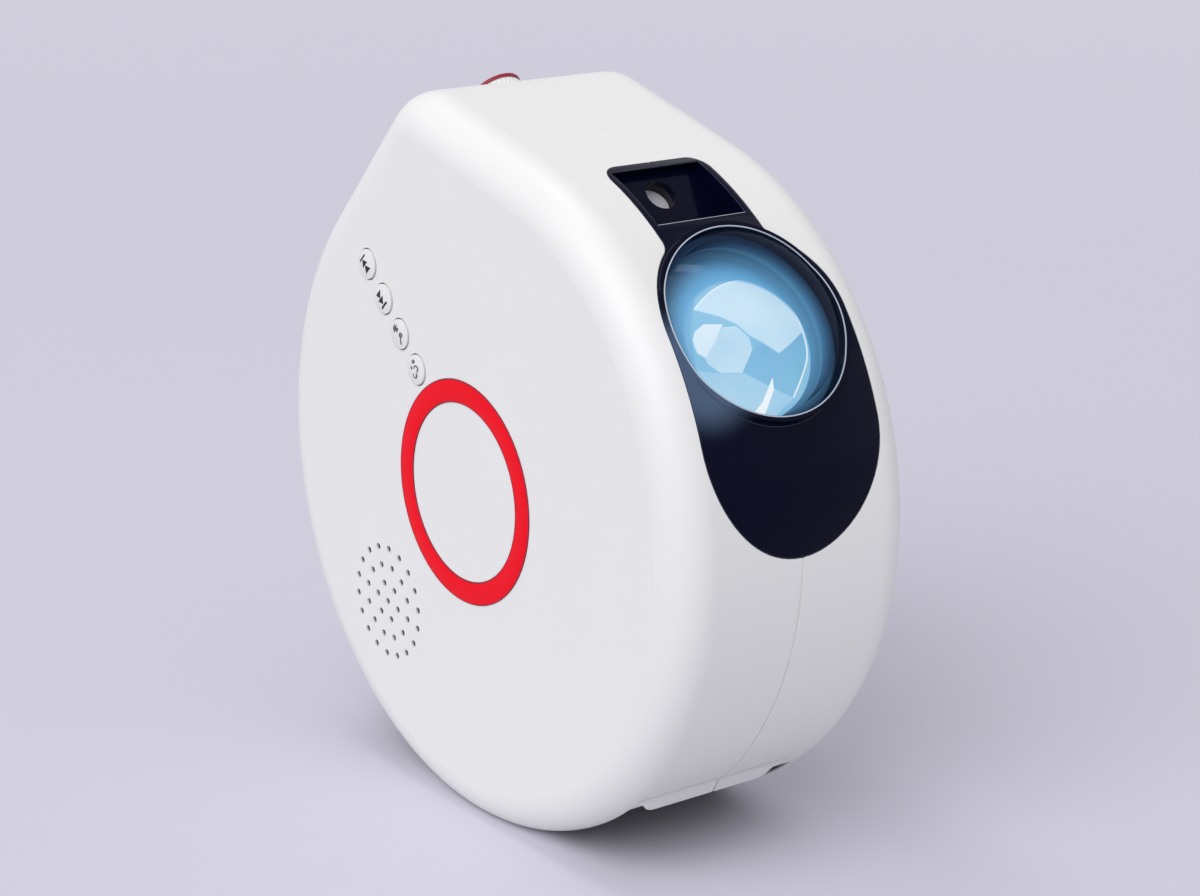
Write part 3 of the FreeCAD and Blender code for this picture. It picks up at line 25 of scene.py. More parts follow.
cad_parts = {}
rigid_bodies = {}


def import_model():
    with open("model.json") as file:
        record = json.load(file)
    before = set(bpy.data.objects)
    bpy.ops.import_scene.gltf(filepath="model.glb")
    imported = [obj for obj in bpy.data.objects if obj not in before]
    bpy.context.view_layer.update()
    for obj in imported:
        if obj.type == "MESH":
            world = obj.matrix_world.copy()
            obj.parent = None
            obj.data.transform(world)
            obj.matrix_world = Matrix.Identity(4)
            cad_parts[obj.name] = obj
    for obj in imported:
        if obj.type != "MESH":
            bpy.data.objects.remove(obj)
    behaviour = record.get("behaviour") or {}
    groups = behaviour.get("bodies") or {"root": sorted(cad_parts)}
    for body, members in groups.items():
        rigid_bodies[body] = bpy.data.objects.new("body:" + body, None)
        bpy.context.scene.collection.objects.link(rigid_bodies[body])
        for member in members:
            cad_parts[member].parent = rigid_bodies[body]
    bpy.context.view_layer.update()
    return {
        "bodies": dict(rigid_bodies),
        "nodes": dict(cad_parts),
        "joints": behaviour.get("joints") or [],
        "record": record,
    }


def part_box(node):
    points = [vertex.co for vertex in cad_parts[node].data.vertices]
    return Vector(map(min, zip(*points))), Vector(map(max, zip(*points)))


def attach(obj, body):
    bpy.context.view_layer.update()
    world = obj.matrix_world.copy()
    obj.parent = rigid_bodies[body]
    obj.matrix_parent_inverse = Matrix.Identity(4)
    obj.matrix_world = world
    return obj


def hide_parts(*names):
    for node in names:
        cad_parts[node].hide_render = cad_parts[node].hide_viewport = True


LOG = logging.getLogger("projector")
MM = 0.001

Socket = bpy.types.NodeSocket
Tree = bpy.types.NodeTree
Node = bpy.types.Node
Material = bpy.types.Material
Piece = bpy.types.Object
Shape = bmesh.types.BMesh
Point = tuple[float, float]
Triple = tuple[float, float, float]
Quad = tuple[float, float, float, float]
Outline = Sequence[Point]

# Kinds of input that the node trees below take.
NUMBER, COUNT, PLACE, SURFACE = "NodeSocketFloat", "NodeSocketInt", "NodeSocketVector", "NodeSocketMaterial"

# Sockets of a Mix node that mixes colours.
MIX_FIRST, MIX_SECOND, MIX_RESULT = 6, 7, 2

# The sRGB curve: a straight foot near black, and a power above it.
SRGB_FOOT, SRGB_SLOPE, SRGB_LIFT, SRGB_POWER = 0.04045, 12.92, 0.055, 2.4

# Points that lie closer than this, in metres, are one point.
WELD = 1e-6


# ---- small helpers -----------------------------------------------------------------------------


def linear(code: str) -> Quad:
    """Turn an sRGB hex colour into linear light.

    Args:
        code: six hex digits after a hash.

    Returns:
        Red, green, blue and a full alpha.
    """
    values = [int(code[index : index + 2], 16) / 255 for index in (1, 3, 5)]
    red, green, blue = (
        value / SRGB_SLOPE if value <= SRGB_FOOT else ((value + SRGB_LIFT) / (1 + SRGB_LIFT)) ** SRGB_POWER
        for value in values
    )
    return red, green, blue, 1.0


def scaled(colour: Quad, share: float) -> Quad:
    """Return a linear colour times a share, held under full white.

    Args:
        colour: the colour.
        share: what it is multiplied by.

    Returns:
        The new colour, with a full alpha.
    """
    red, green, blue = (min(1.0, value * share) for value in colour[:3])
    return red, green, blue, 1.0


def add(tree: Tree, kind: str, inputs: dict[str | int, object] | None = None, **settings: object) -> Node:
    """Add one node with its settings, values and links.

    Args:
        tree: the tree that the node goes into.
        kind: the node's type name.
        inputs: values or sockets by input name or number.
        settings: the node's own properties.

    Returns:
        The new node.
    """
    node = tree.nodes.new(kind)
    for name, value in settings.items():
        setattr(node, name, value)
    for key, value in (inputs or {}).items():
        if isinstance(value, Socket):
            tree.links.new(value, node.inputs[key])
        else:
            node.inputs[key].default_value = value
    return node


def shade(shape: Shape, smooth_under: float) -> None:
    """Turn the faces outwards and shade them smooth, apart from sharp edges.

    Args:
        shape: the mesh.
        smooth_under: edges that bend by more than this many degrees stay sharp.
    """
    bmesh.ops.recalc_face_normals(shape, faces=shape.faces)
    for face in shape.faces:
        face.smooth = True
    for edge in shape.edges:
        if edge.calc_face_angle(0) > math.radians(smooth_under):
            edge.smooth = False


def finish_mesh(name: str, shape: Shape, smooth_under: float = 35.0) -> Piece:
    """Turn a bmesh into an object at the origin, with its normals outwards.

    Args:
        name: the new object's name.
        shape: the mesh, in metres. It is freed.
        smooth_under: edges sharper than this many degrees stay sharp.

    Returns:
        The new object.
    """
    bmesh.ops.remove_doubles(shape, verts=shape.verts, dist=WELD)
    shade(shape, smooth_under)
    mesh = bpy.data.meshes.new(name)
    shape.to_mesh(mesh)
    shape.free()
    made = bpy.data.objects.new(name, mesh)
    bpy.context.scene.collection.objects.link(made)
    return made


def bake_tree(name: str, tree: Tree, values: dict[str, object]) -> Piece:
    """Run a Geometry Nodes tree once and keep its result as a plain mesh.

    Args:
        name: the new object's name.
        tree: the node tree.
        values: the tree's inputs by name.

    Returns:
        An object at the origin that holds the realised mesh.
    """
    seed = bpy.data.objects.new(f"{name}_seed", bpy.data.meshes.new(f"{name}_seed"))
    bpy.context.scene.collection.objects.link(seed)
    modifier = seed.modifiers.new(name, "NODES")
    modifier.node_group = tree
    for item in tree.interface.items_tree:
        if item.item_type == "SOCKET" and item.in_out == "INPUT" and item.name in values:
            modifier[item.identifier] = values[item.name]
    graph = bpy.context.evaluated_depsgraph_get()
    mesh = bpy.data.meshes.new_from_object(seed.evaluated_get(graph))
    mesh.name = name
    bpy.data.objects.remove(seed)
    made = bpy.data.objects.new(name, mesh)
    bpy.context.scene.collection.objects.link(made)
    return made


def new_tree(name: str, **inputs: str) -> tuple[Tree, Node, Node]:
    """Start a Geometry Nodes tree with named inputs, and one for the material.

    Args:
        name: the tree's name.
        inputs: the kind of each input by its name.

    Returns:
        The tree, its input node and its output node.
    """
    tree = bpy.data.node_groups.new(name, "GeometryNodeTree")
    tree.interface.new_socket("Geometry", in_out="OUTPUT", socket_type="NodeSocketGeometry")
    for label, kind in {**inputs, "Material": SURFACE}.items():
        tree.interface.new_socket(label, in_out="INPUT", socket_type=kind)
    return tree, add(tree, "NodeGroupInput"), add(tree, "NodeGroupOutput")


def end_tree(tree: Tree, output: Node, shape: Socket, material: Socket) -> None:
    """Realise the instances, set the material and join the tree's output.

    Args:
        tree: the tree.
        output: its output node.
        shape: the geometry.
        material: the input that carries the material.
    """
    real = add(tree, "GeometryNodeRealizeInstances", {"Geometry": shape})
    dressed = add(tree, "GeometryNodeSetMaterial", {"Geometry": real.outputs[0], "Material": material})
    tree.links.new(dressed.outputs[0], output.inputs[0])


def fade_from_axis(tree: Tree, place: Socket, centre: Sequence[float], axis: Sequence[float],
                   start_mm: float, end_mm: float) -> Socket:
    """Return a factor that falls from one to nothing with the distance from an axis.

    Args:
        tree: the material's tree.
        place: Object coordinates.
        centre: a point on the axis, in metres.
        axis: the axis's unit vector.
        start_mm: the distance up to which the factor is one.
        end_mm: the distance from which it is nothing.

    Returns:
        The factor.
    """
    offset = add(tree, "ShaderNodeVectorMath", {0: place, 1: tuple(centre)}, operation="SUBTRACT")
    across = add(tree, "ShaderNodeVectorMath", {0: offset.outputs[0], 1: tuple(axis)},
                 operation="CROSS_PRODUCT")
    reach = add(tree, "ShaderNodeVectorMath", {0: across.outputs[0]}, operation="LENGTH")
    fade = add(tree, "ShaderNodeMapRange",
               {"Value": reach.outputs["Value"], "From Min": start_mm * MM, "From Max": end_mm * MM,
                "To Min": 1.0, "To Max": 0.0}, interpolation_type="SMOOTHERSTEP")
    return fade.outputs[0]


# ---- places ------------------------------------------------------------------------------------


@dataclass(frozen=True)
class DrumFrame:
    """A frame on the drum: X across it, Y along the rim towards the top, Z out of the drum."""

    angle: float
    axis_height: float

    def matrix(self) -> Matrix:
        """Work out the frame's matrix.

        Returns:
            The matrix from millimetres in the frame to metres in the scene.
        """
        out = self.axis()
        columns = Matrix(((1, 0, 0), (0, out.z, -out.y), out)).transposed().to_4x4()
        return Matrix.Translation((0, 0, self.axis_height)) @ columns @ Matrix.Scale(MM, 4)

    def axis(self) -> Vector:
        """Return the unit vector that points out of the drum."""
        turn = math.radians(self.angle)
        return Vector((0, math.cos(turn), math.sin(turn)))


# ---- finishes ----------------------------------------------------------------------------------


@dataclass(frozen=True)
class Finish:
    """A surface finish: its colour, gloss, and the fine grain that the eye still catches."""

    name: str
    colour: str
    roughness: float = 0.4
    metallic: float = 0.0
    ior: float = 1.5
    drift: float = 0.03
    drift_mm: float = 30.0
    smear_mm: float = 10.0
    grain_mm: float = 0.4
    grain_depth: float = 0.02
    grain_strength: float = 0.5
    polish_drift: float = 0.05
    extras: dict[str, object] = field(default_factory=dict)

    def build(self) -> Material:
        """Build the material.

        Returns:
            A node material that reads Object coordinates.
        """
        material = bpy.data.materials.new(self.name)
        material.use_nodes = True
        tree = material.node_tree
        tree.nodes.clear()
        place = add(tree, "ShaderNodeTexCoord").outputs["Object"]
        shader = add(tree, "ShaderNodeBsdfPrincipled")
        shader.inputs["Metallic"].default_value = self.metallic
        shader.inputs["IOR"].default_value = self.ior
        for name, value in self.extras.items():
            shader.inputs[name].default_value = value
        if self.drift:
            tree.links.new(self.colour_of(tree, place), shader.inputs["Base Color"])
        else:
            shader.inputs["Base Color"].default_value = linear(self.colour)
        tree.links.new(self.roughness_of(tree, place), shader.inputs["Roughness"])
        if self.grain_depth:
            tree.links.new(self.grain_of(tree, place), shader.inputs["Normal"])
        self.add_painted_glow(tree, place, shader)
        output = add(tree, "ShaderNodeOutputMaterial")
        tree.links.new(shader.outputs[0], output.inputs["Surface"])
        return material

    def colour_of(self, tree: Tree, place: Socket) -> Socket:
        """Let the base colour drift a little over the piece.

        Args:
            tree: the material's tree.
            place: Object coordinates.

        Returns:
            The colour.
        """
        noise = add(tree, "ShaderNodeTexNoise",
                    {"Vector": place, "Scale": 1 / (self.drift_mm * MM), "Detail": 3.0})
        base = linear(self.colour)
        mixed = add(tree, "ShaderNodeMix",
                    {0: noise.outputs["Fac"], MIX_FIRST: scaled(base, 1 - self.drift),
                     MIX_SECOND: scaled(base, 1 + self.drift)}, data_type="RGBA")
        return mixed.outputs[MIX_RESULT]

    def roughness_of(self, tree: Tree, place: Socket) -> Socket:
        """Let the roughness vary with the faint smears that handling leaves.

        Args:
            tree: the material's tree.
            place: Object coordinates.

        Returns:
            The roughness.
        """
        noise = add(tree, "ShaderNodeTexNoise",
                    {"Vector": place, "Scale": 1 / (self.smear_mm * MM), "Detail": 4.0})
        spread = add(tree, "ShaderNodeMapRange",
                     {"Value": noise.outputs["Fac"], "To Min": self.roughness * (1 - self.polish_drift),
                      "To Max": self.roughness * (1 + self.polish_drift)})
        return spread.outputs[0]

    def grain_of(self, tree: Tree, place: Socket) -> Socket:
        """Bump the surface with the mould's or the tool's grain.

        Args:
            tree: the material's tree.
            place: Object coordinates.

        Returns:
            The normal.
        """
        noise = add(tree, "ShaderNodeTexNoise",
                    {"Vector": place, "Scale": 1 / (self.grain_mm * MM), "Detail": 2.0})
        bump = add(tree, "ShaderNodeBump",
                   {"Height": noise.outputs["Fac"], "Distance": self.grain_depth * MM,
                    "Strength": self.grain_strength})
        return bump.outputs[0]

    def add_painted_glow(self, tree: Tree, place: Socket, shader: Node) -> None:
        """Add the material's painted glow. A plain finish has none."""


@dataclass(frozen=True)
class BrushedFinish(Finish):
    """A metal drawn or brushed along one axis, so that its grain runs in streaks."""

    grain_strength: float = 0.6
    streak: Triple = (0.05, 1.0, 1.0)

    def grain_of(self, tree: Tree, place: Socket) -> Socket:
        """Stretch the grain along the brushing direction."""
        long = add(tree, "ShaderNodeMapping", {"Vector": place, "Scale": self.streak})
        return super().grain_of(tree, long.outputs[0])


@dataclass(frozen=True)
class PaintedGlowFinish(Finish):
    """Dark plastic with a painted glow that stands in for light spilt round the dome."""

    # The painted glow's colour far from its middle, and near it.
    far_glow: str = "#000000"
    glow: str = "#485A72"
    centre: Triple = (0.0, 0.0, 0.0)
    axis: Triple = (0.0, 0.0, 1.0)
    start_mm: float = 6.0
    end_mm: float = 16.0
    strength: float = 1.0

    def add_painted_glow(self, tree: Tree, place: Socket, shader: Node) -> None:
        """Paint the spilt light as a glow, which fades with the distance from its middle.

        Args:
            tree: the material's tree.
            place: Object coordinates.
            shader: the shader that glows.
        """
        fade = fade_from_axis(tree, place, self.centre, self.axis, self.start_mm, self.end_mm)
        tone = add(tree, "ShaderNodeMix",
                   {0: fade, MIX_FIRST: linear(self.far_glow), MIX_SECOND: linear(self.glow)}, data_type="RGBA")
        tree.links.new(tone.outputs[MIX_RESULT], shader.inputs["Emission Color"])
        shader.inputs["Emission Strength"].default_value = self.strength


@dataclass(frozen=True)
class NebulaFinish(Finish):
    """A moulded lens with a painted glow that stands in for the lamp's light: each facet glows at its own
    level, a painted highlight.
    """

    deep: str = "#4E93BE"
    middle: str = "#8FC6E2"
    middle_at: float = 0.4
    pale: str = "#D9EEF8"
    pale_at: float = 0.75
    bright: str = "#FFFFFF"
    # The painted halo past the disc's edge, bright near its middle and dim far out.
    outside: str = "#6FB0DA"
    dim_halo: str = "#17273F"
    strength: float = 1.0
    swing: float = 0.22
    clouds_per_metre: float = 90.0
    centre: Triple = (0.0, 0.0, 0.0)
    axis: Triple = (0.0, 0.0, 1.0)
    start_mm: float = 15.0
    end_mm: float = 16.2
    halo_centre: Triple = (0.0, 0.0, 0.0)
    halo_start_mm: float = 12.0
    halo_end_mm: float = 21.5

    def add_painted_glow(self, tree: Tree, place: Socket, shader: Node) -> None:
        """Paint each facet's glow from its own level, with a soft drift inside the facet, and a painted halo
        past the disc's edge.

        Args:
            tree: the material's tree.
            place: Object coordinates.
            shader: the shader that glows.
        """
        level = add(tree, "ShaderNodeAttribute", attribute_name="level").outputs["Fac"]
        noise = add(tree, "ShaderNodeTexNoise",
                    {"Vector": place, "Scale": self.clouds_per_metre, "Detail": 1.0})
        swing = add(tree, "ShaderNodeMath", {0: noise.outputs["Fac"], 1: self.swing, 2: -self.swing / 2},
                    operation="MULTIPLY_ADD")
        total = add(tree, "ShaderNodeMath", {0: level, 1: swing.outputs[0]}, operation="ADD")
        ramp = add(tree, "ShaderNodeValToRGB", {"Fac": total.outputs[0]})
        stops = ramp.color_ramp.elements
        stops[0].position, stops[0].color = 0.0, linear(self.deep)
        stops[1].position, stops[1].color = 1.0, linear(self.bright)
        for spot, code in ((self.middle_at, self.middle), (self.pale_at, self.pale)):
            stops.new(spot).color = linear(code)
        fade = fade_from_axis(tree, place, self.centre, self.axis, self.start_mm, self.end_mm)
        halo = fade_from_axis(tree, place, self.halo_centre, self.axis, self.halo_start_mm, self.halo_end_mm)
        spill = add(tree, "ShaderNodeMix",
                    {0: halo, MIX_FIRST: linear(self.dim_halo), MIX_SECOND: linear(self.outside)},
                    data_type="RGBA")
        tone = add(tree, "ShaderNodeMix",
                   {0: fade, MIX_FIRST: spill.outputs[MIX_RESULT], MIX_SECOND: ramp.outputs["Color"]},
                   data_type="RGBA")
        tree.links.new(tone.outputs[MIX_RESULT], shader.inputs["Emission Color"])
        shader.inputs["Emission Strength"].default_value = self.strength


@dataclass(frozen=True)
class ClearShellFinish(Finish):
    """A thin clear moulding: light goes straight through, and it turns dark navy towards its edges, a painted
    shade.

    Only its outward faces shine and take the painted shade, because the two skins of a thin moulding look
    like one.
    """

    edge_painted_shade: str = "#101C33"
    gloss_tint: str = "#A3B6D8"
    edge_gloss: float = 0.2
    face_gloss: float = 0.35
    tint_power: float = 3.0
    gloss_power: float = 5.0

    def build(self) -> Material:
        """Build the material.

        Returns:
            A clear material whose gloss grows towards its edges.
        """
        material = bpy.data.materials.new(self.name)
        material.use_nodes = True
        tree = material.node_tree
        tree.nodes.clear()
        place = add(tree, "ShaderNodeTexCoord").outputs["Object"]
        turned = add(tree, "ShaderNodeLayerWeight").outputs["Facing"]
        inside = add(tree, "ShaderNodeNewGeometry").outputs["Backfacing"]
        outside = add(tree, "ShaderNodeMath", {0: 1.0, 1: inside}, operation="SUBTRACT").outputs[0]
        facing = add(tree, "ShaderNodeMath", {0: turned, 1: outside}, operation="MULTIPLY").outputs[0]
        # The outward faces turn dark navy towards the edges: painted shade.
        depth = add(tree, "ShaderNodeMath", {0: facing, 1: self.tint_power}, operation="POWER")
        tint = add(tree, "ShaderNodeMix",
                   {0: depth.outputs[0], MIX_FIRST: self.colour_of(tree, place),
                    MIX_SECOND: linear(self.edge_painted_shade)}, data_type="RGBA")
        clear = add(tree, "ShaderNodeBsdfTransparent", {"Color": tint.outputs[MIX_RESULT]})
        gloss = add(tree, "ShaderNodeBsdfGlossy",
                    {"Color": linear(self.gloss_tint), "Roughness": self.roughness_of(tree, place)})
        straight = self.face_gloss * ((self.ior - 1) / (self.ior + 1)) ** 2
        least = add(tree, "ShaderNodeMath", {0: outside, 1: straight}, operation="MULTIPLY")
        steep = add(tree, "ShaderNodeMath", {0: facing, 1: self.gloss_power}, operation="POWER")
        share = add(tree, "ShaderNodeMath", {0: steep.outputs[0], 1: self.edge_gloss, 2: least.outputs[0]},
                    operation="MULTIPLY_ADD")
        mixed = add(tree, "ShaderNodeMixShader",
                    {0: share.outputs[0], 1: clear.outputs[0], 2: gloss.outputs[0]})
        output = add(tree, "ShaderNodeOutputMaterial")
        tree.links.new(mixed.outputs[0], output.inputs["Surface"])
        return material


@dataclass(frozen=True)
class BoardFinish(Finish):
    """A circuit board under green solder mask, with its tracks just showing through."""

    track: str = "#2E7A45"
    track_pitch_mm: float = 9.0
    track_share: float = 0.04

    def colour_of(self, tree: Tree, place: Socket) -> Socket:
        """Lay paler lines in the mask's green, where the copper lies.

        Args:
            tree: the material's tree.
            place: Object coordinates.

        Returns:
            The colour.
        """
        mask = linear(self.colour)
        spread = add(tree, "ShaderNodeTexBrick",
                     {"Vector": place, "Scale": 1 / (self.track_pitch_mm * MM), "Color1": mask,
                      "Color2": mask, "Mortar": linear(self.track), "Mortar Size": self.track_share})
        return spread.outputs["Color"]


@dataclass(frozen=True)
class FinishSet:
    """All finishes of the projector. The middles of the painted glows are in the lens frame, in millimetres.
    """

    lens: DrumFrame
    lamp_middle: Triple = (3.0, -3.0, 0.0)
    spill_middle: Triple = (2.7, -0.1, 0.0)
    strip_middle: Triple = (-18.0, -8.0, 0.0)

    def build(self) -> dict[str, Material]:
        """Build every finish.

        Returns:
            The materials by their plain names.
        """
        lamp_middle, spill_middle, strip_middle = (
            tuple(self.lens.matrix() @ Vector(middle))
            for middle in (self.lamp_middle, self.spill_middle, self.strip_middle)
        )
        axis = tuple(self.lens.axis())
        finishes = [
            # ABS from a fine spark-eroded mould: a satin white that goes soft at its highlights.
            Finish("white_abs", "#EAEAE7", 0.42, ior=1.53, drift=0.01, grain_mm=0.35, grain_depth=0.006),
            # The same ABS from a polished mould: the caps look a little cleaner than the case.
            Finish("cap_abs", "#E6E6E4", 0.36, ior=1.53, drift=0.01, grain_mm=0.5, grain_depth=0.003),
            # ABS moulded in red, its gloss held back: an even, saturated red that hardly reflects.
            Finish("red_abs", "#F2021C", 0.36, ior=1.53, drift=0.02, grain_mm=0.6, grain_depth=0.004,
                   extras={"Specular IOR Level": 0.08}),
            # ABS moulded in dark red: the knob's rim, and thin wine-coloured lines round the ring, which are
            # painted shade standing in for the shadow in the ring's groove.
            Finish("dark_red_abs_and_groove_shade", "#8E1D38", 0.45, ior=1.53, drift=0.02,
                   extras={"Specular IOR Level": 0.3}),
            # Smoked acrylic, moulded, with a hard coat that holds its gloss back: nearly black,
            # with a painted dim blue-grey glow beside the dome.
            PaintedGlowFinish("black_acrylic", "#04061E", 0.14, ior=1.49, drift=0.1, grain_depth=0.0008,
                           extras={"Specular IOR Level": 0.075}, centre=strip_middle, axis=axis),
            # The acrylic's rounded edge, polished but not coated, in a colour paler than the panel's: a
            # painted highlight line.
            Finish("painted_edge_highlight", "#34374A", 0.25, ior=1.49, drift=0.05),
            # Black ABS of the optics' barrel, moulded, with a painted glow: blue near the lens behind the
            # dome, fading to navy further out.
            PaintedGlowFinish("barrel_abs", "#04070F", 0.6, ior=1.53, grain_depth=0.0,
                           extras={"Specular IOR Level": 0.05}, centre=spill_middle, axis=axis,
                           start_mm=12.0, end_mm=22.2, glow="#6FB0DA", far_glow="#17273F"),
            # Clear acrylic bead, moulded: a fine pale line, whose faint glow is a painted highlight.
            Finish("bead_painted_highlight", "#A9B2C0", 0.2, ior=1.49,
                   extras={"Emission Strength": 0.16, "Emission Color": linear("#C4CCD8")}),
            # Clear acrylic, moulded: colourless, water-bright, one sharp reflection, and a painted navy shade
            # towards its edges.
            ClearShellFinish("clear_acrylic", "#F6FAFD", 0.03, ior=1.49, drift=0.005),
            # Clear polycarbonate, moulded: glass-like, with the faintest blue.
            Finish("clear_polycarbonate", "#E8F4FC", 0.05, ior=1.58, drift=0.0,
                   extras={"Transmission Weight": 1.0}),
            # Moulded acrylic with a faceted face and a painted glow: each facet glows at its own level, a
            # painted highlight, with a painted halo round the disc.
            NebulaFinish("nebula_lens", "#0E2A3C", 0.2, ior=1.49, strength=0.95, centre=lamp_middle,
                         axis=axis, halo_centre=spill_middle),
            # Pad-printed ink: flat, nearly black, with no shine of its own.
            Finish("key_ink", "#15161C", 0.6, drift=0.05),
            # The same ink from a fine screen: thin strokes that read as grey.
            Finish("pale_key_ink", "#55565C", 0.6, drift=0.05),
            # Black ABS of the hidden brackets, moulded: dull, with an even grain.
            Finish("black_abs", "#0B0C11", 0.5, ior=1.53, drift=0.08),
            # Thermoplastic rubber, moulded: matt, with the fine sheen that skin oils leave.
            Finish("dark_rubber", "#0B0D1A", 0.72, ior=1.52, drift=0.12, grain_mm=0.8, grain_depth=0.05),
            # Natural nylon, moulded: cream-white gears with a waxy surface.
            Finish("natural_nylon", "#E4E0D2", 0.45, ior=1.53),
            # Zinc-plated steel, drawn: cool grey with fine streaks.
            BrushedFinish("zinc_steel", "#B9BCC2", 0.34, 1.0, grain_depth=0.01),
            # Extruded aluminium: pale grey, streaked the way it left the die.
            BrushedFinish("extruded_aluminium", "#C9CBD0", 0.38, 1.0, grain_depth=0.015),
            # Turned brass: warm yellow, with the rings that the tool left.
            BrushedFinish("turned_brass", "#C9A04E", 0.3, 1.0, grain_depth=0.01, streak=(1.0, 1.0, 0.1)),
            # Green solder mask over etched copper: glossy, with paler tracks under it.
            BoardFinish("solder_mask", "#12502B", 0.3, ior=1.55),
            # Phosphor in silicone on the lamps: an unlit, egg-yolk yellow.
            Finish("lamp_phosphor", "#F2D24A", 0.5),
            # Die-cut foam rubber: black and quite matt, with open cells.
            Finish("foam_rubber", "#16171A", 0.95, grain_mm=1.2, grain_depth=0.3),
            # Dark grey and quite matt: discs of painted shade in the sound holes.
            Finish("painted_hole_shade", "#3A3B44", 0.9, grain_mm=0.25, grain_depth=0.05),
            # Pressed paper pulp: a black cone with a felted surface.
            Finish("paper_cone", "#1B1B1E", 0.9, grain_mm=0.9, grain_depth=0.1),
            # Embossed grating foil under glass: silvery grey wherever light reaches it.
            Finish("grating_glass", "#E4E4EE", 0.3, ior=1.52, extras={"Coat Weight": 1.0}),
        ]
        return {finish.name: finish.build() for finish in finishes}


# ---- pieces ------------------------------------------------------------------------------------


class Part:
    """Shared work of the sub-assemblies: they dress CAD nodes and attach new pieces to their bodies."""

    def __init__(self, nodes: dict[str, Piece], finishes: dict[str, Material]) -> None:
        """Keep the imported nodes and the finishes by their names."""
        self.nodes = nodes
        self.finishes = finishes

    def dress(self, finish: str, *names: str) -> None:
        """Give CAD nodes a finish.

        Args:
            finish: the finish's name.
            names: the nodes' names.
        """
        for name in names:
            slots = self.nodes[name].data.materials
            slots.clear()
            slots.append(self.finishes[finish])
            LOG.info("%s: dressed in %s", name, finish)

    def add_piece(self, piece: Piece, body: str, slot: str, finish: str = "",
                  replaces: Sequence[str] = ()) -> Piece:
        """Attach a new piece to its body.

        Args:
            piece: the object.
            body: the CAD body that it moves with.
            slot: not used.
            finish: a finish to give it, if it has none yet.
            replaces: the CAD nodes that it stands for.

        Returns:
            The piece.
        """
        if finish:
            piece.data.materials.clear()
            piece.data.materials.append(self.finishes[finish])
        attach(piece, body)
        if replaces:
            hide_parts(*replaces)
        LOG.info("%s: %d faces on %s", piece.name, len(piece.data.polygons), body)
        return piece


class Case(Part):
    """The two white halves, the sole and the screws."""

    def build(self) -> None:
        """Dress the case."""
        self.dress("white_abs", "left_shell", "right_shell")
        self.dress("dark_rubber", "base_sole")
        self.dress("zinc_steel", "case_screws")


@dataclass
class AccentRingSizes:
    """Sizes of the accent ring, in millimetres."""

    outer: float = 24.97
    inner: float = 20.03
    face: float = -31.4
    back: float = -30.1
    edge: float = 0.18
    # The dark edge lines: painted shade standing in for the groove's shadow.
    line: float = 0.22
    line_edge: float = 0.08
    line_inset: float = 0.02
    line_sink: float = 0.06
    steps: int = 160
    smooth_under: float = 40.0


class AccentRing(Part):
    """The red ring let into the left face, and the dark lines that edge it, painted shade standing in for the
    shadow in its groove.
    """

    sizes = AccentRingSizes()

    def build(self, axis_height: float) -> None:
        """Sweep the rounded inlay round the drum's axis, and a fine dark line of painted shade along each
        edge.

        Args:
            axis_height: the height of the drum's axis, in metres.
        """
        sizes = self.sizes
        tree, inputs, output = new_tree("accent_ring_sweep", Radius=NUMBER, Width=NUMBER, Depth=NUMBER,
                                        Edge=NUMBER, Place=PLACE, Steps=COUNT)
        path = add(tree, "GeometryNodeCurvePrimitiveCircle",
                   {"Resolution": inputs.outputs["Steps"], "Radius": inputs.outputs["Radius"]})
        section = add(tree, "GeometryNodeCurvePrimitiveQuadrilateral",
                      {"Width": inputs.outputs["Width"], "Height": inputs.outputs["Depth"]})
        soft = add(tree, "GeometryNodeFilletCurve",
                   {"Curve": section.outputs[0], "Radius": inputs.outputs["Edge"], "Count": 3}, mode="POLY")
        swept = add(tree, "GeometryNodeCurveToMesh",
                    {"Curve": path.outputs[0], "Profile Curve": soft.outputs[0]})
        turned = add(tree, "GeometryNodeTransform",
                     {"Geometry": swept.outputs[0], "Translation": inputs.outputs["Place"],
                      "Rotation": (0.0, math.pi / 2, 0.0)})
        end_tree(tree, output, turned.outputs[0], inputs.outputs["Material"])
        bar = ((sizes.outer + sizes.inner) / 2, sizes.outer - sizes.inner, sizes.back - sizes.face,
               sizes.edge)
        place = (sizes.face + sizes.back) / 2
        inlay = self.sweep("accent_ring_inlay", tree, "red_abs", bar, place, axis_height)
        self.add_piece(inlay, "case", "accent_red", replaces=["accent_ring"])
        # Dark red lines along both edges: painted shade for the shadow in the ring's groove.
        for name, reach in (("outer_ring_shade_line", sizes.outer - sizes.line_inset),
                            ("inner_ring_shade_line", sizes.inner + sizes.line_inset)):
            bar = (reach, sizes.line, sizes.line, sizes.line_edge)
            line = self.sweep(name, tree, "dark_red_abs_and_groove_shade", bar, sizes.face + sizes.line_sink, axis_height)
            self.add_piece(line, "case", "accent_red")

    def sweep(self, name: str, tree: Tree, finish: str, bar: Quad, place: float, axis_height: float) -> Piece:
        """Bake one ring of the sweep.

        Args:
            name: the object's name.
            tree: the sweep's node group.
            finish: the name of its finish.
            bar: the ring's middle radius and its bar's width, depth and edge round, in millimetres.
            place: where the bar's middle lies across the drum, in millimetres.
            axis_height: the height of the drum's axis, in metres.

        Returns:
            The ring, with flat sides and soft edges.
        """
        radius, width, depth, edge_round = bar
        piece = bake_tree(name, tree, {
            "Radius": radius * MM, "Width": width * MM, "Depth": depth * MM, "Edge": edge_round * MM,
            "Place": (place * MM, 0.0, axis_height), "Steps": self.sizes.steps,
            "Material": self.finishes[finish],
        })
        shape = bmesh.new()
        shape.from_mesh(piece.data)
        shade(shape, self.sizes.smooth_under)
        shape.to_mesh(piece.data)
        shape.free()
        return piece


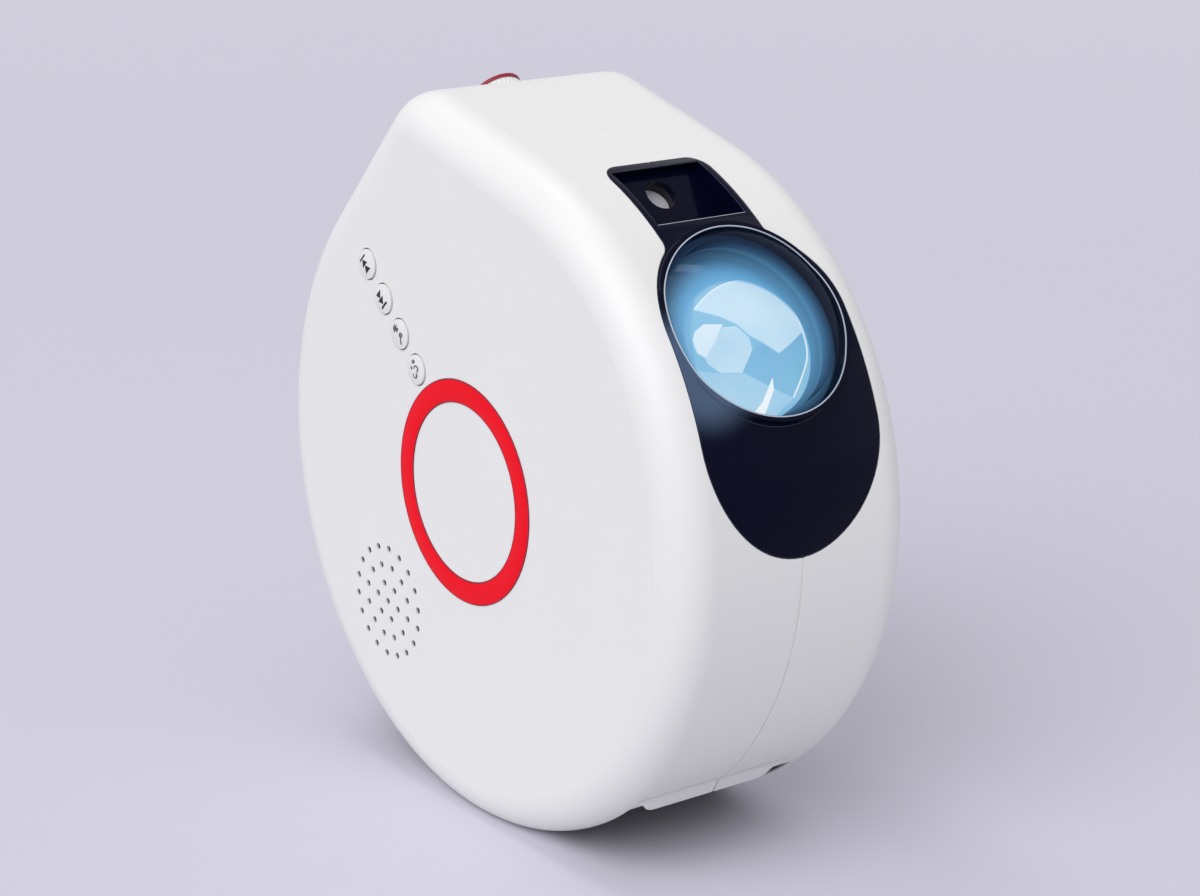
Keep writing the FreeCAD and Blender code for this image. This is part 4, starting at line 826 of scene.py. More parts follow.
class MarkShapes(Enum):
    """Generic marks printed on the keys."""

    PREVIOUS = "previous"
    NEXT = "next"
    LIGHT = "light"
    ROTATE = "rotate"

    def outlines(self) -> list[Outline]:
        """Draw the mark.

        Returns:
            Its closed outlines, in millimetres, along the row of keys and across it.
        """
        if self is MarkShapes.PREVIOUS:
            return [[(-1.62, -1.15), (-1.2, -1.15), (-1.2, 1.15), (-1.62, 1.15)],
                    [(-1.15, 0.0), (0.2, -1.05), (0.2, 1.05)], [(0.15, 0.0), (1.55, -1.05), (1.55, 1.05)]]
        if self is MarkShapes.NEXT:
            return [[(-along, rise) for along, rise in reversed(outline)]
                    for outline in MarkShapes.PREVIOUS.outlines()]
        if self is MarkShapes.LIGHT:
            head = arc_band((0.75, 0.85), 0.42, 0.26, 0, 345)
            stem = [(0.75, 0.5), (1.1, 0.65), (2.15, -0.35), (1.85, -0.6)]
            return [star((-1.2, 0.3), 1.05, 0.36, 6), head, stem]
        upper = arc_band((0.25, 0.75), 0.6, 0.3, -10, 235)
        lower = arc_band((0.85, -0.3), 0.6, 0.3, -145, 100)
        return [star((-1.35, 0.9), 0.6, 0.25, 5), upper, lower, star((-0.75, -0.35), 0.42, 0.3, 4)]


def star(centre: Point, reach: float, waist: float, arms: int) -> Outline:
    """Return the outline of a star.

    Args:
        centre: the star's centre.
        reach: its outer radius.
        waist: its inner radius.
        arms: how many points it has.

    Returns:
        The closed outline.
    """
    return [(centre[0] + (waist if index % 2 else reach) * math.cos(math.pi / arms * index),
             centre[1] + (waist if index % 2 else reach) * math.sin(math.pi / arms * index))
            for index in range(2 * arms)]


def arc_band(centre: Point, radius: float, width: float, start: float, end: float,
             steps: int = 14) -> Outline:
    """Return the outline of a bent band.

    Args:
        centre: the arc's centre.
        radius: its middle radius.
        width: the band's width.
        start: the angle that it starts at, in degrees.
        end: the angle that it ends at, in degrees.
        steps: how many straight pieces each side has.

    Returns:
        The closed outline.
    """
    angles = [math.radians(start + (end - start) * index / steps) for index in range(steps + 1)]
    rims = [(radius + width / 2, angles), (radius - width / 2, angles[::-1])]
    return [(centre[0] + reach * math.cos(turn), centre[1] + reach * math.sin(turn))
            for reach, turns in rims for turn in turns]


@dataclass(frozen=True)
class KeyMark:
    """A printed mark: the body that it moves with, its key, its ink, its shape and its row place."""

    body: str
    node: str
    ink: str
    shape: MarkShapes
    row_place: int


@dataclass
class KeypadSizes:
    """Sizes of the row of keys and of the print on them, in millimetres."""

    crown_radius: float = 11.47
    mark_lift: float = 0.02
    mark_thick: float = 0.06
    mark_scale: float = 1.18
    longest_edge: float = 0.35
    first_y: float = 37.3
    first_z: float = 44.1
    pitch: float = 9.38
    row_turn: float = 226.0


class Keypad(Part):
    """The push caps with their printed marks, the switches and the board behind them."""

    sizes = KeypadSizes()
    marks = (
        KeyMark("previous_key", "button_previous", "key_ink", MarkShapes.PREVIOUS, 0),
        KeyMark("next_key", "button_next", "key_ink", MarkShapes.NEXT, 1),
        KeyMark("light_key", "button_light", "pale_key_ink", MarkShapes.LIGHT, 2),
        KeyMark("rotate_key", "button_rotate", "pale_key_ink", MarkShapes.ROTATE, 3),
    )

    def build(self, axis_height: float) -> None:
        """Dress the caps and print the marks.

        Args:
            axis_height: the height of the drum's axis, in metres.
        """
        self.dress("cap_abs", *(mark.node for mark in self.marks))
        self.dress("solder_mask", "button_board")
        self.dress("black_abs", "tact_switches")
        for mark in self.marks:
            self.print_mark(mark, axis_height)

    def print_mark(self, mark: KeyMark, axis_height: float) -> None:
        """Print one mark on its crowned cap.

        Args:
            mark: the mark.
            axis_height: the height of the drum's axis, in metres.
        """
        sizes = self.sizes
        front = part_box(mark.node)[0].x
        turn = math.radians(sizes.row_turn)
        reach = mark.row_place * sizes.pitch
        middle = Vector((0, (sizes.first_y + reach * math.cos(turn)) * MM,
                         axis_height + (sizes.first_z + reach * math.sin(turn)) * MM))
        shape = self.draw_flat(mark.shape.outlines(), turn)
        radius = sizes.crown_radius * MM
        for vert in shape.verts:
            crown = front + radius - math.sqrt(radius ** 2 - vert.co.y ** 2 - vert.co.z ** 2)
            vert.co.x = max(front, crown - sizes.mark_lift * MM)
            vert.co += middle
        thick = bmesh.ops.extrude_face_region(shape, geom=list(shape.faces))
        for item in thick["geom"]:
            if isinstance(item, bmesh.types.BMVert):
                item.co.x += sizes.mark_thick * MM
        self.add_piece(finish_mesh(f"{mark.node}_mark", shape), mark.body, "black_plastic", mark.ink)

    def draw_flat(self, outlines: Sequence[Outline], turn: float) -> Shape:
        """Draw outlines as a flat sheet of small triangles, which can follow a crowned cap.

        Args:
            outlines: closed outlines in millimetres.
            turn: the row's direction, in radians.

        Returns:
            The sheet, across the drum's axis, in metres.
        """
        shape = bmesh.new()
        scale = self.sizes.mark_scale * MM
        for outline in outlines:
            corners = [shape.verts.new((0, (along * math.cos(turn) + rise * math.sin(turn)) * scale,
                                        (along * math.sin(turn) - rise * math.cos(turn)) * scale))
                       for along, rise in outline]
            shape.faces.new(corners)
        bmesh.ops.triangulate(shape, faces=shape.faces)
        for _ in range(2):
            long = [edge for edge in shape.edges if edge.calc_length() > self.sizes.longest_edge * MM]
            bmesh.ops.subdivide_edges(shape, edges=long, cuts=1)
            bmesh.ops.triangulate(shape, faces=shape.faces)
        return shape


@dataclass
class GrilleSizes:
    """Places of the sound holes, in millimetres: three rings round a middle hole.

    Each ring has its number of holes and the angle that it starts at, in degrees.
    """

    middle_y: float = 32.1
    middle_z: float = -34.1
    pitch: float = 4.28
    hole: float = 0.8
    # The dark discs set into the holes: painted shade.
    shade_disc_gap: float = 0.02
    shade_disc_sides: int = 20
    shade_disc_deep: float = 0.45
    shade_disc_thick: float = 0.3
    face: float = -31.25
    rings: tuple[tuple[int, float], ...] = ((1, 0.0), (6, 48.0), (12, 16.0), (18, 6.0))


class Speaker(Part):
    """The loudspeaker and the dark discs of painted shade in the sound holes in front of it."""

    sizes = GrilleSizes()

    def build(self, axis_height: float) -> None:
        """Dress the loudspeaker and put a dark disc of painted shade in each hole.

        Args:
            axis_height: the height of the drum's axis, in metres.
        """
        self.dress("foam_rubber", "speaker_gasket")
        self.dress("zinc_steel", "speaker_frame", "speaker_magnet")
        self.dress("paper_cone", "speaker_cone")
        sizes = self.sizes
        tree, inputs, output = new_tree("sound_hole_shade_discs", Pitch=NUMBER, Hole=NUMBER, Thick=NUMBER,
                                        Place=PLACE)
        shade_disc = add(tree, "GeometryNodeMeshCylinder",
                     {"Vertices": sizes.shade_disc_sides, "Radius": inputs.outputs["Hole"],
                      "Depth": inputs.outputs["Thick"]})
        join = add(tree, "GeometryNodeJoinGeometry")
        for ring, (count, start) in enumerate(sizes.rings):
            if count == 1:
                points = add(tree, "GeometryNodePoints", {"Count": 1})
            else:
                reach = add(tree, "ShaderNodeMath", {0: inputs.outputs["Pitch"], 1: float(ring)},
                            operation="MULTIPLY")
                points = add(tree, "GeometryNodeMeshCircle", {"Vertices": count, "Radius": reach.outputs[0]})
            turned = add(tree, "GeometryNodeTransform",
                         {"Geometry": points.outputs[0], "Rotation": (0.0, 0.0, math.radians(90 + start))})
            spots = add(tree, "GeometryNodeInstanceOnPoints",
                        {"Points": turned.outputs[0], "Instance": shade_disc.outputs["Mesh"]})
            tree.links.new(spots.outputs[0], join.inputs[0])
        upright = add(tree, "GeometryNodeTransform",
                      {"Geometry": join.outputs[0], "Translation": inputs.outputs["Place"],
                       "Rotation": (0.0, -math.pi / 2, 0.0)})
        end_tree(tree, output, upright.outputs[0], inputs.outputs["Material"])
        across = sizes.face + sizes.shade_disc_deep + sizes.shade_disc_thick / 2
        shade_discs = bake_tree("sound_hole_shade_discs", tree, {
            "Pitch": sizes.pitch * MM, "Hole": (sizes.hole - sizes.shade_disc_gap) * MM,
            "Thick": sizes.shade_disc_thick * MM,
            "Place": (across * MM, sizes.middle_y * MM, axis_height + sizes.middle_z * MM),
            "Material": self.finishes["painted_hole_shade"],
        })
        self.add_piece(shade_discs, "case", "white_plastic")


@dataclass
class DomeSizes:
    """Sizes of the dome's bead and the nebula lens, in millimetres, along the lens axis.

    The levels are shares of the painted glow that stands in for the lamp's light: the plain disc's own, and a
    facet's side's, whose smaller share is painted shade.
    """

    bead_radius: float = 21.35
    bead_thick: float = 0.15
    bead_steps: int = 160
    bead_sides: int = 12
    drum: float = 77.0
    collar_top: float = 76.4
    lens_radius: float = 18.4
    lens_steps: int = 96
    lens_foot: float = 65.0
    lens_face: float = 67.5
    facet_high: float = 0.3
    facet_sink: float = 0.05
    plain_level: float = 0.42
    side_share: float = 0.8
    smooth_under: float = 20.0


def rim_band(middle: Point, wide: float, points: Outline) -> Outline:
    """Return a thin band that follows a line of points round a middle, its corners cut soft.

    Args:
        middle: the point that the line goes round.
        wide: the band's width.
        points: the line's points, the band's inner edge.

    Returns:
        The band's closed outline.
    """
    for _ in range(2):
        cuts = [(first[0] * near + second[0] * (1 - near), first[1] * near + second[1] * (1 - near))
                for first, second in zip(points, points[1:]) for near in (0.75, 0.25)]
        points = [points[0]] + cuts + [points[-1]]
    outer = []
    for x, y in reversed(points):
        reach = math.hypot(x - middle[0], y - middle[1])
        outer.append((x + (x - middle[0]) * wide / reach, y + (y - middle[1]) * wide / reach))
    return list(points) + outer


# Facets of the nebula lens: level of painted glow, share of the full height, and outline in millimetres.
FACETS: tuple[tuple[float, float, Outline], ...] = (
    (0.30, 0.2, ((-13.7, 8.3), (-7.8, 11.4), (-6.1, 9.1), (-7.9, 6.4), (-10.1, 2.8), (-12.2, -5.2),
                 (-13.8, -1.6), (-14.6, 4.0))),
    (0.72, 0.9, ((-6.8, 7.6), (-2.8, 10.1), (1.4, 11.7), (6.3, 12.3), (10.5, 11.5), (14.1, 9.1),
                 (16.2, 6.2), (17.6, 2.4), (17.6, -1.2), (13.4, -3.3), (9.6, -4.9), (6.5, -1.9),
                 (4.0, 0.1), (1.9, 3.1), (-1.6, 5.4))),
    (0.86, 1.0, ((-6.1, 4.2), (-1.5, 3.4), (-4.7, 0.4), (-8.9, -3.0), (-10.4, -1.6), (-10.3, 1.1),
                 (-8.8, 3.1))),
    (0.68, 0.5, ((-1.6, 2.9), (1.7, 2.6), (3.7, -0.4), (3.3, -3.1), (-1.4, -7.5), (-6.7, -6.7),
                 (-8.9, -4.3), (-8.9, -3.0), (-4.7, 0.4))),
    (0.34, 0.3, ((3.3, -3.1), (6.4, -2.1), (9.5, -5.0), (17.5, -1.3), (16.5, -6.5), (12.6, -10.9),
                 (8.5, -14.7), (4.2, -11.5), (-1.2, -7.1))),
    (0.52, 0.6, ((-12.2, -5.4), (-6.7, -6.9), (-1.4, -7.7), (4.1, -11.8), (8.3, -15.1), (2.0, -18.1),
                 (-3.1, -17.2), (-8.1, -13.3), (-10.7, -9.4))),
    # A thin bright band along the lit disc's edge: a painted highlight.
    (0.92, 1.0, rim_band((3.2, -1.7), 0.28, [
        (-6.8, 7.6), (-2.8, 10.1), (1.4, 11.7), (6.3, 12.3), (10.5, 11.5), (14.1, 9.1), (16.2, 6.2),
        (17.6, 2.4), (17.6, -1.2), (16.5, -6.5), (12.6, -10.9), (8.5, -14.7)])),
    (1.00, 1.0, ((5.3, -9.9), (4.4, -12.5), (0.7, -16.3), (-0.8, -17.7), (-3.5, -16.9), (0.3, -14.7))),
)


class DomeOptics(Part):
    """The dome, its bead, the lens behind it with its painted glow, and the lamp's works."""

    sizes = DomeSizes()

    def build(self, frame: DrumFrame) -> None:
        """Dress the optics and build the bead and the faceted lens.

        Args:
            frame: the frame of the lens axis.
        """
        self.dress("clear_acrylic", "dome_lens")
        self.dress("barrel_abs", "dome_retainer", "lens_barrel")
        self.dress("clear_polycarbonate", "condenser_lens", "ripple_disc")
        self.dress("natural_nylon", "wheel_gear", "drive_pinion")
        self.dress("zinc_steel", "motor_shaft", "wheel_motor")
        self.dress("black_abs", "motor_bracket", "lamp_housing")
        self.dress("extruded_aluminium", "heat_sink")
        self.dress("solder_mask", "led_board")
        self.dress("lamp_phosphor", "led_lamps")
        self.build_bead(frame)
        self.build_lens(frame)

    def build_bead(self, frame: DrumFrame) -> None:
        """Sweep the fine bead round the dome, whose faint glow is a painted highlight. It lies on the collar
        or the panel, whichever is higher.

        Args:
            frame: the frame of the lens axis.
        """
        sizes = self.sizes
        tree, inputs, output = new_tree("dome_bead_sweep", Radius=NUMBER, Thick=NUMBER, Drum=NUMBER,
                                        Collar=NUMBER)
        circle = add(tree, "GeometryNodeCurvePrimitiveCircle",
                     {"Resolution": sizes.bead_steps, "Radius": inputs.outputs["Radius"]})
        spot = add(tree, "ShaderNodeSeparateXYZ", {0: add(tree, "GeometryNodeInputPosition").outputs[0]})
        rise = add(tree, "ShaderNodeMath", {0: spot.outputs["Y"], 1: spot.outputs["Y"]}, operation="MULTIPLY")
        drum = add(tree, "ShaderNodeMath", {0: inputs.outputs["Drum"], 1: inputs.outputs["Drum"]},
                   operation="MULTIPLY")
        left = add(tree, "ShaderNodeMath", {0: drum.outputs[0], 1: rise.outputs[0]}, operation="SUBTRACT")
        skin = add(tree, "ShaderNodeMath", {0: left.outputs[0]}, operation="SQRT")
        high = add(tree, "ShaderNodeMath", {0: skin.outputs[0], 1: inputs.outputs["Collar"]},
                   operation="MAXIMUM")
        lift = add(tree, "ShaderNodeCombineXYZ", {"Z": high.outputs[0]})
        path = add(tree, "GeometryNodeSetPosition",
                   {"Geometry": circle.outputs[0], "Offset": lift.outputs[0]})
        bar = add(tree, "GeometryNodeCurvePrimitiveCircle",
                  {"Resolution": sizes.bead_sides, "Radius": inputs.outputs["Thick"]})
        swept = add(tree, "GeometryNodeCurveToMesh",
                    {"Curve": path.outputs[0], "Profile Curve": bar.outputs[0]})
        end_tree(tree, output, swept.outputs[0], inputs.outputs["Material"])
        bead = bake_tree("dome_bead", tree, {
            "Radius": sizes.bead_radius, "Thick": sizes.bead_thick, "Drum": sizes.drum,
            "Collar": sizes.collar_top, "Material": self.finishes["bead_painted_highlight"],
        })
        bead.data.transform(frame.matrix())
        self.add_piece(bead, "case", "gloss_black")

    def build_lens(self, frame: DrumFrame) -> None:
        """Build the moulded lens: a disc whose face carries raised facets.

        Args:
            frame: the frame of the lens axis.
        """
        sizes = self.sizes
        shape = bmesh.new()
        level = shape.faces.layers.float.new("level")
        disc = bmesh.ops.create_cone(shape, cap_ends=True, segments=sizes.lens_steps,
                                     radius1=sizes.lens_radius, radius2=sizes.lens_radius,
                                     depth=sizes.lens_face - sizes.lens_foot)
        lift = (sizes.lens_face + sizes.lens_foot) / 2
        bmesh.ops.translate(shape, verts=disc["verts"], vec=(0, 0, lift))
        # Each face holds its level of painted glow, which the nebula finish reads.
        for face in shape.faces:
            face[level] = sizes.plain_level
        for light, share, outline in FACETS:
            corners = [shape.verts.new((x, y, sizes.lens_face - sizes.facet_sink)) for x, y in outline]
            base = shape.faces.new(corners)
            base.normal_update()
            made = bmesh.ops.extrude_face_region(shape, geom=[base])
            tops = [item for item in made["geom"] if isinstance(item, bmesh.types.BMVert)]
            bmesh.ops.translate(shape, verts=tops, vec=(0, 0, sizes.facet_sink + sizes.facet_high * share))
            for item in made["geom"]:
                if isinstance(item, bmesh.types.BMFace):
                    item[level] = light
            # The facets' sides glow less than their tops: painted shade.
            for edge in base.edges:
                for side in edge.link_faces:
                    side[level] = light * sizes.side_share
        shape.transform(frame.matrix())
        lens = finish_mesh("nebula_lens", shape, sizes.smooth_under)
        self.add_piece(lens, "case", "blue_lens", "nebula_lens", replaces=["pattern_lens"])


@dataclass
class LaserWindowSizes:
    """Sizes of the keyhole panel's edges, in millimetres, and the angles that tell them, in degrees."""

    drum: float = 77.0
    bead_rise: float = 25.05
    bead_long: float = 22.6
    bead_thick: float = 0.14
    bead_sides: int = 12
    edge_round: float = 0.24
    edge_near: float = 0.02
    edge_over: float = 40.0
    flat_under: float = 0.5
    smooth_under: float = 25.0


class LaserWindow(Part):
    """The keyhole panel with the laser well in its neck, and the laser behind it."""

    sizes = LaserWindowSizes()

    def build(self, frame: DrumFrame) -> None:
        """Dress the panel and the laser, and lay the fine bead along the well's lower edge, whose faint glow
        is a painted highlight.

        Args:
            frame: the frame of the lens axis.
        """
        self.bevel_panel(frame.axis_height)
        self.dress("black_abs", "laser_holder")
        self.dress("turned_brass", "laser_module")
        self.dress("grating_glass", "star_grating")
        sizes = self.sizes
        bead = bmesh.new()
        bmesh.ops.create_cone(bead, cap_ends=True, segments=sizes.bead_sides, radius1=sizes.bead_thick,
                              radius2=sizes.bead_thick, depth=sizes.bead_long)
        out = math.sqrt(sizes.drum ** 2 - sizes.bead_rise ** 2) - sizes.bead_thick
        place = frame.matrix() @ Matrix.Translation((0, sizes.bead_rise, out))
        bead.transform(place @ Matrix.Rotation(math.pi / 2, 4, "Y"))
        self.add_piece(finish_mesh("laser_well_highlight_bead", bead), "case", "gloss_black", "bead_painted_highlight")

    def bevel_panel(self, axis_height: float) -> None:
        """Round the panel's outer edges and give the rounds a paler finish: a painted highlight line.

        Args:
            axis_height: the height of the drum's axis, in metres.
        """
        sizes = self.sizes
        shape = bmesh.new()
        shape.from_mesh(self.nodes["front_panel"].data)
        bmesh.ops.remove_doubles(shape, verts=shape.verts, dist=WELD)
        bmesh.ops.dissolve_limit(shape, angle_limit=math.radians(sizes.flat_under), verts=shape.verts,
                                 edges=shape.edges)
        drum, near = sizes.drum * MM, sizes.edge_near * MM
        on_skin = {vert for vert in shape.verts
                   if abs(math.hypot(vert.co.y, vert.co.z - axis_height) - drum) < near}
        sharp = math.radians(sizes.edge_over)
        edges = [edge for edge in shape.edges
                 if edge.calc_face_angle(0) > sharp and on_skin.issuperset(edge.verts)]
        made = bmesh.ops.bevel(shape, geom=edges, offset=sizes.edge_round * MM, offset_type="OFFSET",
                               segments=2, profile=0.5, affect="EDGES", clamp_overlap=True)
        # The rounds take the paler finish, a painted highlight.
        for face in made["faces"]:
            face.material_index = 1
        panel = finish_mesh("bevelled_panel", shape, sizes.smooth_under)
        panel.data.materials.append(self.finishes["black_acrylic"])
        panel.data.materials.append(self.finishes["painted_edge_highlight"])
        self.add_piece(panel, "case", "gloss_black", replaces=["front_panel"])


@dataclass
class KnobSizes:
    """Sizes of the volume knob, in millimetres, along its own axis.

    The dish is what the top sinks by: at its lip, at its shoulder, a way in from the rim, and in
    its middle.
    """

    angle: float = 43.6
    across: float = 4.6
    along: float = -30.92
    foot: float = 77.3
    top: float = 82.9
    core: float = 5.7
    reach: float = 5.97
    ribs: int = 36
    rib_sides: int = 8
    rib_gap: float = 0.4
    rim_low: float = 82.1
    rim_inner: float = 5.6
    foot_edge: float = 0.3
    top_edge: float = 0.35
    lip_dish: float = 0.1
    shoulder: float = 1.4
    shoulder_dish: float = 0.16
    middle_dish: float = 0.3
    bore: float = 2.0
    bore_top: float = 81.03
    steps: int = 96
    smooth_under: float = 32.0


class Knob(Part):
    """The ribbed knob on the sloping back face, and the control under it."""

    sizes = KnobSizes()

    def build(self, axis_height: float) -> None:
        """Build the ribbed knob and dress the rest.

        Args:
            axis_height: the height of the drum's axis, in metres.
        """
        sizes = self.sizes
        frame = DrumFrame(sizes.angle, axis_height)
        place = frame.matrix() @ Matrix.Translation((sizes.across, sizes.along, 0))
        self.dress("dark_red_abs_and_groove_shade", "knob_rim")
        self.dress("zinc_steel", "knob_shaft", "volume_control")
        core = self.turn_core()
        core.data.transform(place)
        self.add_piece(core, "knob", "white_plastic", "cap_abs", replaces=["volume_knob"])
        tree, inputs, output = new_tree("knob_rib_ring", Radius=NUMBER, Count=COUNT, Thick=NUMBER,
                                        High=NUMBER)
        ring = add(tree, "GeometryNodeMeshCircle",
                   {"Vertices": inputs.outputs["Count"], "Radius": inputs.outputs["Radius"]})
        rib = add(tree, "GeometryNodeMeshCylinder",
                  {"Vertices": sizes.rib_sides, "Radius": inputs.outputs["Thick"],
                   "Depth": inputs.outputs["High"]})
        spots = add(tree, "GeometryNodeInstanceOnPoints",
                    {"Points": ring.outputs[0], "Instance": rib.outputs["Mesh"]})
        end_tree(tree, output, spots.outputs[0], inputs.outputs["Material"])
        high = sizes.rim_low - sizes.foot - 2 * sizes.rib_gap
        ribs = bake_tree("knob_ribs", tree, {
            "Radius": sizes.core, "Count": sizes.ribs, "Thick": sizes.reach - sizes.core, "High": high,
            "Material": self.finishes["cap_abs"],
        })
        ribs.data.transform(place @ Matrix.Translation((0, 0, sizes.foot + sizes.rib_gap + high / 2)))
        self.add_piece(ribs, "knob", "white_plastic")

    def turn_core(self) -> Piece:
        """Turn the knob's body from its half section.

        Returns:
            The body, in millimetres along its own axis.
        """
        sizes = self.sizes
        core, rim, top = sizes.core, sizes.rim_inner, sizes.top
        # The half section from the bore round the foot, up the side, and over the dished top.
        profile = [(0.0, sizes.bore_top), (sizes.bore, sizes.bore_top), (sizes.bore, sizes.foot),
                   (core - sizes.foot_edge, sizes.foot), (core, sizes.foot + sizes.foot_edge),
                   (core, sizes.rim_low), (rim, sizes.rim_low), (rim, top - sizes.top_edge),
                   (rim - sizes.top_edge, top - sizes.lip_dish),
                   (rim - sizes.shoulder, top - sizes.shoulder_dish), (0.0, top - sizes.middle_dish)]
        shape = bmesh.new()
        corners = [shape.verts.new((reach, 0, rise)) for reach, rise in profile]
        edges = [shape.edges.new(pair) for pair in zip(corners, corners[1:])]
        bmesh.ops.spin(shape, geom=corners + edges, axis=(0, 0, 1), cent=(0, 0, 0), steps=sizes.steps,
                       angle=math.tau)
        return finish_mesh("knob_body", shape, sizes.smooth_under)


class Backside(Part):
    """The power inlet and the main board."""

    def build(self) -> None:
        """Dress the inlet, its nut and the boards."""
        self.dress("black_abs", "power_inlet", "board_parts")
        self.dress("zinc_steel", "inlet_nut", "board_screws")
        self.dress("solder_mask", "main_board")


# ---- studio ------------------------------------------------------------------------------------


@dataclass(frozen=True)
class Lamp:
    """A soft box: where it stands, its size, its power and the point that it shines at."""

    name: str
    place: Triple
    size: Point
    power: float
    aim: Triple

    def build(self) -> None:
        """Add the lamp."""
        data = bpy.data.lights.new(self.name, "AREA")
        data.shape = "RECTANGLE"
        data.size, data.size_y = self.size
        data.energy = self.power
        lamp = bpy.data.objects.new(self.name, data)
        bpy.context.scene.collection.objects.link(lamp)
        lamp.location = self.place
        lamp.rotation_euler = (Vector(self.aim) - Vector(self.place)).to_track_quat("-Z", "Y").to_euler()


@dataclass(frozen=True)
class Skylight:
    """A wide, distant soft light: the way to it, how wide it is and how strong."""

    name: str
    towards: Triple
    width: float
    power: float

    def build(self) -> None:
        """Add the light."""
        data = bpy.data.lights.new(self.name, "SUN")
        data.angle = math.radians(self.width)
        data.energy = self.power
        lamp = bpy.data.objects.new(self.name, data)
        bpy.context.scene.collection.objects.link(lamp)
        lamp.rotation_euler = Vector(self.towards).to_track_quat("Z", "Y").to_euler()


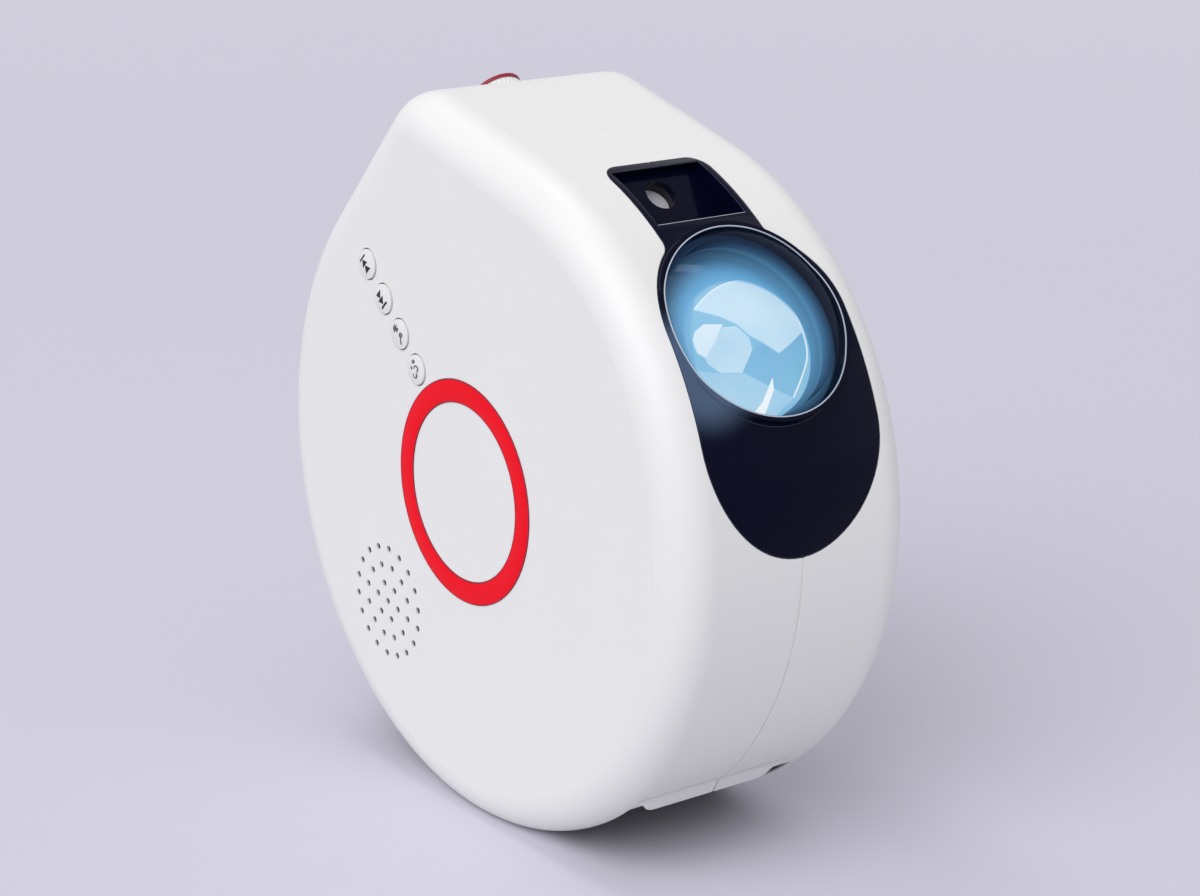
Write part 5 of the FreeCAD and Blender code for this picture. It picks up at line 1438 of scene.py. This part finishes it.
@dataclass(frozen=True)
class Studio:
    """The pale floor, the soft light and the camera, in metres, degrees and lens millimetres."""

    ground: str = "#D6D4E0"
    ground_drift: float = 0.02
    ground_clouds_per_metre: float = 3.0
    far_ground: str = "#E3E1EC"
    near_reach: float = 0.45
    far_reach: float = 2.1
    floor_half: float = 6.0
    world_colour: str = "#FAFAFF"
    world_light: float = 0.59
    window_side: Triple = (-0.585, -0.811, 0.0)
    window_gain: float = 0.27
    camera_place: Triple = (-0.3476, -0.4810, 0.2536)
    azimuth: float = 36.29
    elevation: float = 16.29
    lens: float = 83.13
    film: float = 36.0
    nearest: float = 0.01

    def build(self) -> None:
        """Build the floor, the world, the lamps and the camera."""
        self.build_floor()
        self.build_world()
        self.build_camera()
        for lamp in (
            Skylight("key_skylight", (-0.7, -0.27, 0.66), 50.0, 1.42),
            Lamp("dome_softbox", (-0.1, 0.23, 0.98), (0.12, 0.3), 0.95, (-0.013, -0.055, 0.133)),
        ):
            lamp.build()
        bpy.context.scene.view_settings.view_transform = "Standard"

    def build_floor(self) -> None:
        """Lay the painted floor, which keeps the object's shadow and gets a little paler far away."""
        shape = bmesh.new()
        bmesh.ops.create_grid(shape, x_segments=2, y_segments=2, size=self.floor_half)
        floor = finish_mesh("floor", shape)
        material = bpy.data.materials.new("painted_floor")
        material.use_nodes = True
        tree = material.node_tree
        tree.nodes.clear()
        place = add(tree, "ShaderNodeTexCoord").outputs["Object"]
        noise = add(tree, "ShaderNodeTexNoise",
                    {"Vector": place, "Scale": self.ground_clouds_per_metre, "Detail": 1.0})
        base = linear(self.ground)
        tint = add(tree, "ShaderNodeMix",
                   {0: noise.outputs["Fac"], MIX_FIRST: scaled(base, 1 - self.ground_drift),
                    MIX_SECOND: base}, data_type="RGBA")
        away = add(tree, "ShaderNodeVectorMath", {0: place}, operation="LENGTH")
        fade = add(tree, "ShaderNodeMapRange",
                   {"Value": away.outputs["Value"], "From Min": self.near_reach, "From Max": self.far_reach})
        paler = add(tree, "ShaderNodeMix",
                    {0: fade.outputs[0], MIX_FIRST: tint.outputs[MIX_RESULT],
                     MIX_SECOND: linear(self.far_ground)}, data_type="RGBA")
        paint = add(tree, "ShaderNodeBsdfDiffuse", {"Color": paler.outputs[MIX_RESULT]})
        output = add(tree, "ShaderNodeOutputMaterial")
        tree.links.new(paint.outputs[0], output.inputs["Surface"])
        floor.data.materials.append(material)

    def build_world(self) -> None:
        """Light the scene softly, most from the window's side, and show the ground's colour behind it."""
        world = bpy.data.worlds.new("pale_room")
        bpy.context.scene.world = world
        world.use_nodes = True
        tree = world.node_tree
        tree.nodes.clear()
        path = add(tree, "ShaderNodeLightPath")
        way = add(tree, "ShaderNodeTexCoord").outputs["Object"]
        facing = add(tree, "ShaderNodeVectorMath", {0: way, 1: self.window_side}, operation="DOT_PRODUCT")
        level = add(tree, "ShaderNodeMath",
                    {0: facing.outputs["Value"], 1: self.world_light * self.window_gain, 2: self.world_light},
                    operation="MULTIPLY_ADD")
        light = add(tree, "ShaderNodeBackground",
                    {"Color": linear(self.world_colour), "Strength": level.outputs[0]})
        seen = add(tree, "ShaderNodeBackground", {"Color": linear(self.far_ground), "Strength": 1.0})
        mirrored = add(tree, "ShaderNodeMath",
                       {0: path.outputs["Is Glossy Ray"], 1: path.outputs["Is Transmission Ray"]},
                       operation="MAXIMUM")
        shown = add(tree, "ShaderNodeMath", {0: path.outputs["Is Camera Ray"], 1: mirrored.outputs[0]},
                    operation="MAXIMUM")
        mixed = add(tree, "ShaderNodeMixShader",
                    {0: shown.outputs[0], 1: light.outputs[0], 2: seen.outputs[0]})
        output = add(tree, "ShaderNodeOutputWorld")
        tree.links.new(mixed.outputs[0], output.inputs["Surface"])

    def build_camera(self) -> None:
        """Place the camera at the viewing angle."""
        data = bpy.data.cameras.new("view_camera")
        data.lens = self.lens
        data.sensor_width = self.film
        data.sensor_fit = "HORIZONTAL"
        data.clip_start = self.nearest
        camera = bpy.data.objects.new("view_camera", data)
        bpy.context.scene.collection.objects.link(camera)
        camera.location = self.camera_place
        turn, dip = math.radians(self.azimuth), math.radians(self.elevation)
        forward = Vector((math.sin(turn) * math.cos(dip), math.cos(turn) * math.cos(dip), -math.sin(dip)))
        camera.rotation_euler = forward.to_track_quat("-Z", "Y").to_euler()
        bpy.context.scene.camera = camera


# ---- main --------------------------------------------------------------------------------------

# Where the lens axis points: degrees round the drum, from level at the back, over the top.
LENS_ANGLE = 143.0


def main() -> None:
    """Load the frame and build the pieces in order."""
    logging.basicConfig(level=logging.INFO, format="%(name)s: %(message)s")
    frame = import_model()
    low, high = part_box("accent_ring")
    axis_height = (low.z + high.z) / 2
    lens = DrumFrame(LENS_ANGLE, axis_height)
    nodes = frame["nodes"]
    finishes = FinishSet(lens).build()
    Studio().build()
    Case(nodes, finishes).build()
    LaserWindow(nodes, finishes).build(lens)
    DomeOptics(nodes, finishes).build(lens)
    AccentRing(nodes, finishes).build(axis_height)
    Keypad(nodes, finishes).build(axis_height)
    Speaker(nodes, finishes).build(axis_height)
    Knob(nodes, finishes).build(axis_height)
    Backside(nodes, finishes).build()


if __name__ == "__main__":
    main()
